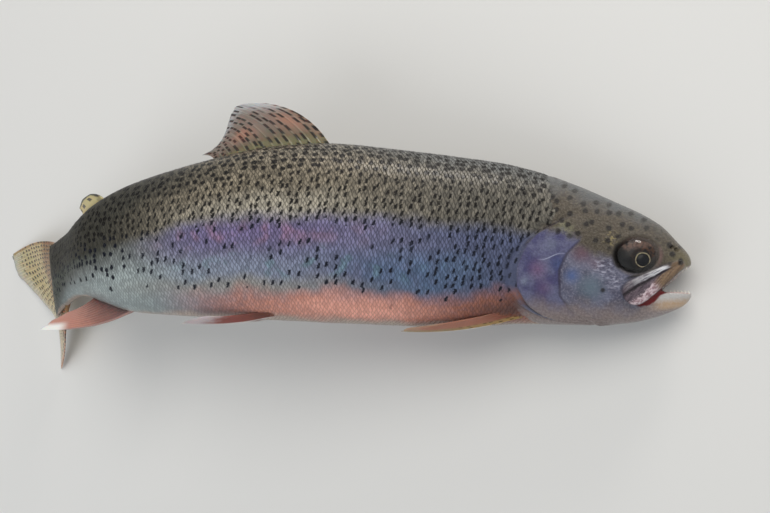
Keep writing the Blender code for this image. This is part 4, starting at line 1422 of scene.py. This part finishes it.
def tongue():
    look = Look("tongue_flesh", Coat_Weight=0.8, Coat_Roughness=0.08, Subsurface_Weight=0.2,
                Subsurface_Scale=0.002)
    mottle = look.noise(look.attribute("face"), 0.9, 3.0)
    finish = look.finish_with(mottle.fade(0.3, 0.7).between("tongue", "pale_tongue"), 0.25)
    s = np.linspace(0.026, 0.072, 24)[:, None]
    turn = (np.arange(24) * math.tau / 24)[None, :]
    swell = np.sqrt(np.clip(np.sin(math.pi * (s - 0.0255) / 0.062), 0, 1))
    floor = smooth(MOUTH_FLOOR, s) - 1.3 * MM
    groove = 1 - 0.25 * bump(turn, 0, 0.5) - 0.25 * bump(turn, math.tau, 0.5)
    h = floor + 0.9 * MM * swell * np.cos(turn) * groove
    w = 2.7 * MM * swell * np.sin(turn)
    s = s + 0 * turn
    points = world(s, h, w).reshape(-1, 3)
    index = np.arange(s.size).reshape(s.shape)
    faces = [tube_quads(*s.shape), index[:1], index[-1:, ::-1]]
    face = np.stack((s, h, np.abs(w)), 2).reshape(-1, 3) * LENGTH * 1000
    piece = add_mesh("tongue_flesh", points, faces, finish, {"face": face})
    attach(piece, "root")
    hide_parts("tongue")


def teeth():
    """Small backward-leaning teeth along both jaws, just inside the lips."""
    finish = Look("teeth", Coat_Weight=1.0, Subsurface_Weight=0.2).finish_with("tooth", 0.15)
    generator = np.random.default_rng(5)
    around, thick = np.arange(8) * math.tau / 8, 0.21 * MM
    quads = tube_quads(3, 8)[:, [0, 3, 2, 1]]
    points, faces, caps = [], [], []
    for line, reach, up in ((PALATE, 0.80, 1), (MOUTH_FLOOR, 0.80 * 0.86, -1)):
        for way in (1, -1):
            for s in np.arange(0.0095, 0.041, 1.15 * MM):
                out = reach * float(profile(s)[2]) - 0.15 * MM
                root_h = float(smooth(line, s)) + 0.35 * up * MM
                tall = (0.95 + 0.25 * generator.random()) * MM
                for share, size in ((0, 1.0), (0.55, 0.62), (1, 0.06)):
                    ring_s = s + 0.35 * tall * share**1.6 + thick * size * np.cos(around)
                    ring_w = way * (out - 0.25 * tall * share + thick * size * np.sin(around))
                    points.append(world(ring_s, root_h - up * tall * share, ring_w))
                start = len(points) * 8 - 24
                faces.extend((quads + start)[:, :: -way * up])
                caps.append(np.arange(start + 16, start + 24)[:: -way * up])
    piece = add_mesh("teeth", np.concatenate(points), [faces, caps], finish)
    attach(piece, "root")


# ---------------------------------------------------------------- the set


def floor():
    mesh = bpy.data.meshes.new("floor")
    mesh.from_pydata([(-3, -3, 0), (3, -3, 0), (3, 3, 0), (-3, 3, 0)], [], [(0, 1, 2, 3)])
    mesh.materials.append(Look("pale_floor").finish_with("floor", 0.6))
    piece = link("floor", mesh)


def aim(thing, where, at):
    thing.location = where
    thing.rotation_euler = (Vector(at) - Vector(where)).to_track_quat("-Z", "Y").to_euler()


def light(name, where, size, power, colour=(1, 1, 1), shines=False):
    """A round soft light; only those that shine are seen in the gloss of the fish."""
    lamp = bpy.data.lights.new(name, "AREA")
    lamp.shape, lamp.size, lamp.energy, lamp.color = "DISK", size, power, colour
    piece = link(name, lamp)
    piece.visible_glossy = shines
    aim(piece, where, (0.0, 0.0, 0.03))


def lights():
    """Two wide soft lights that don't shine in the wet skin, two smaller ones that do, and a pale sky."""
    light("key", (0.35, 0.55, 0.95), 0.9, 8.0, (1.0, 0.98, 0.95))
    light("fill", (-0.5, -0.6, 0.8), 0.9, 4.0, (0.93, 0.96, 1.0))
    light("window", (0.50, 0.88, 0.24), 0.26, 2.4, (1.0, 0.97, 0.93), shines=True)
    light("panel", (0.30, 0.95, 0.30), 0.55, 0.9, (1.0, 0.86, 0.80), shines=True)
    sky = bpy.data.worlds.new("studio")
    bpy.context.scene.world = sky
    sky.use_nodes = True
    sky.node_tree.nodes["Background"].inputs[0].default_value = (0.86, 0.92, 1.0, 1)
    sky.node_tree.nodes["Background"].inputs[1].default_value = 0.40


CAMERA_AIM = SHIFT + (-0.1018, 0.0119, 0.0303)
CAMERA_AWAY = 0.37
CAMERA_TILT, CAMERA_SIDE, CAMERA_ROLL = (math.radians(a) for a in (24.52, -2.69, -5.35))
CAMERA_LENS = 49.3


def camera():
    """Looks down on the fish from over its head, a little from the belly's side."""
    cos, sin = math.cos(CAMERA_SIDE), math.sin(CAMERA_SIDE)
    away = np.array((math.sin(CAMERA_TILT) * cos, sin, math.cos(CAMERA_TILT) * cos))
    right = np.cross((0, 1, 0), away)
    right /= np.linalg.norm(right)
    up = np.cross(away, right)
    cos, sin = math.cos(CAMERA_ROLL), math.sin(CAMERA_ROLL)
    columns = (right * cos + up * sin, up * cos - right * sin, away, CAMERA_AIM + away * CAMERA_AWAY)
    view = link("camera", bpy.data.cameras.new("camera"))
    view.data.sensor_width, view.data.lens, view.data.clip_start = 36, CAMERA_LENS, 0.01
    view.matrix_world = Matrix([[*row, 0] for row in columns[:3]] + [[*columns[3], 1]]).transposed()
    bpy.context.scene.camera = view


def main():
    bpy.context.scene.view_settings.view_transform = "Standard"
    camera()
    lights()
    floor()
    skin()
    eyes()
    tongue()
    teeth()
    fins()
    scales()


main()
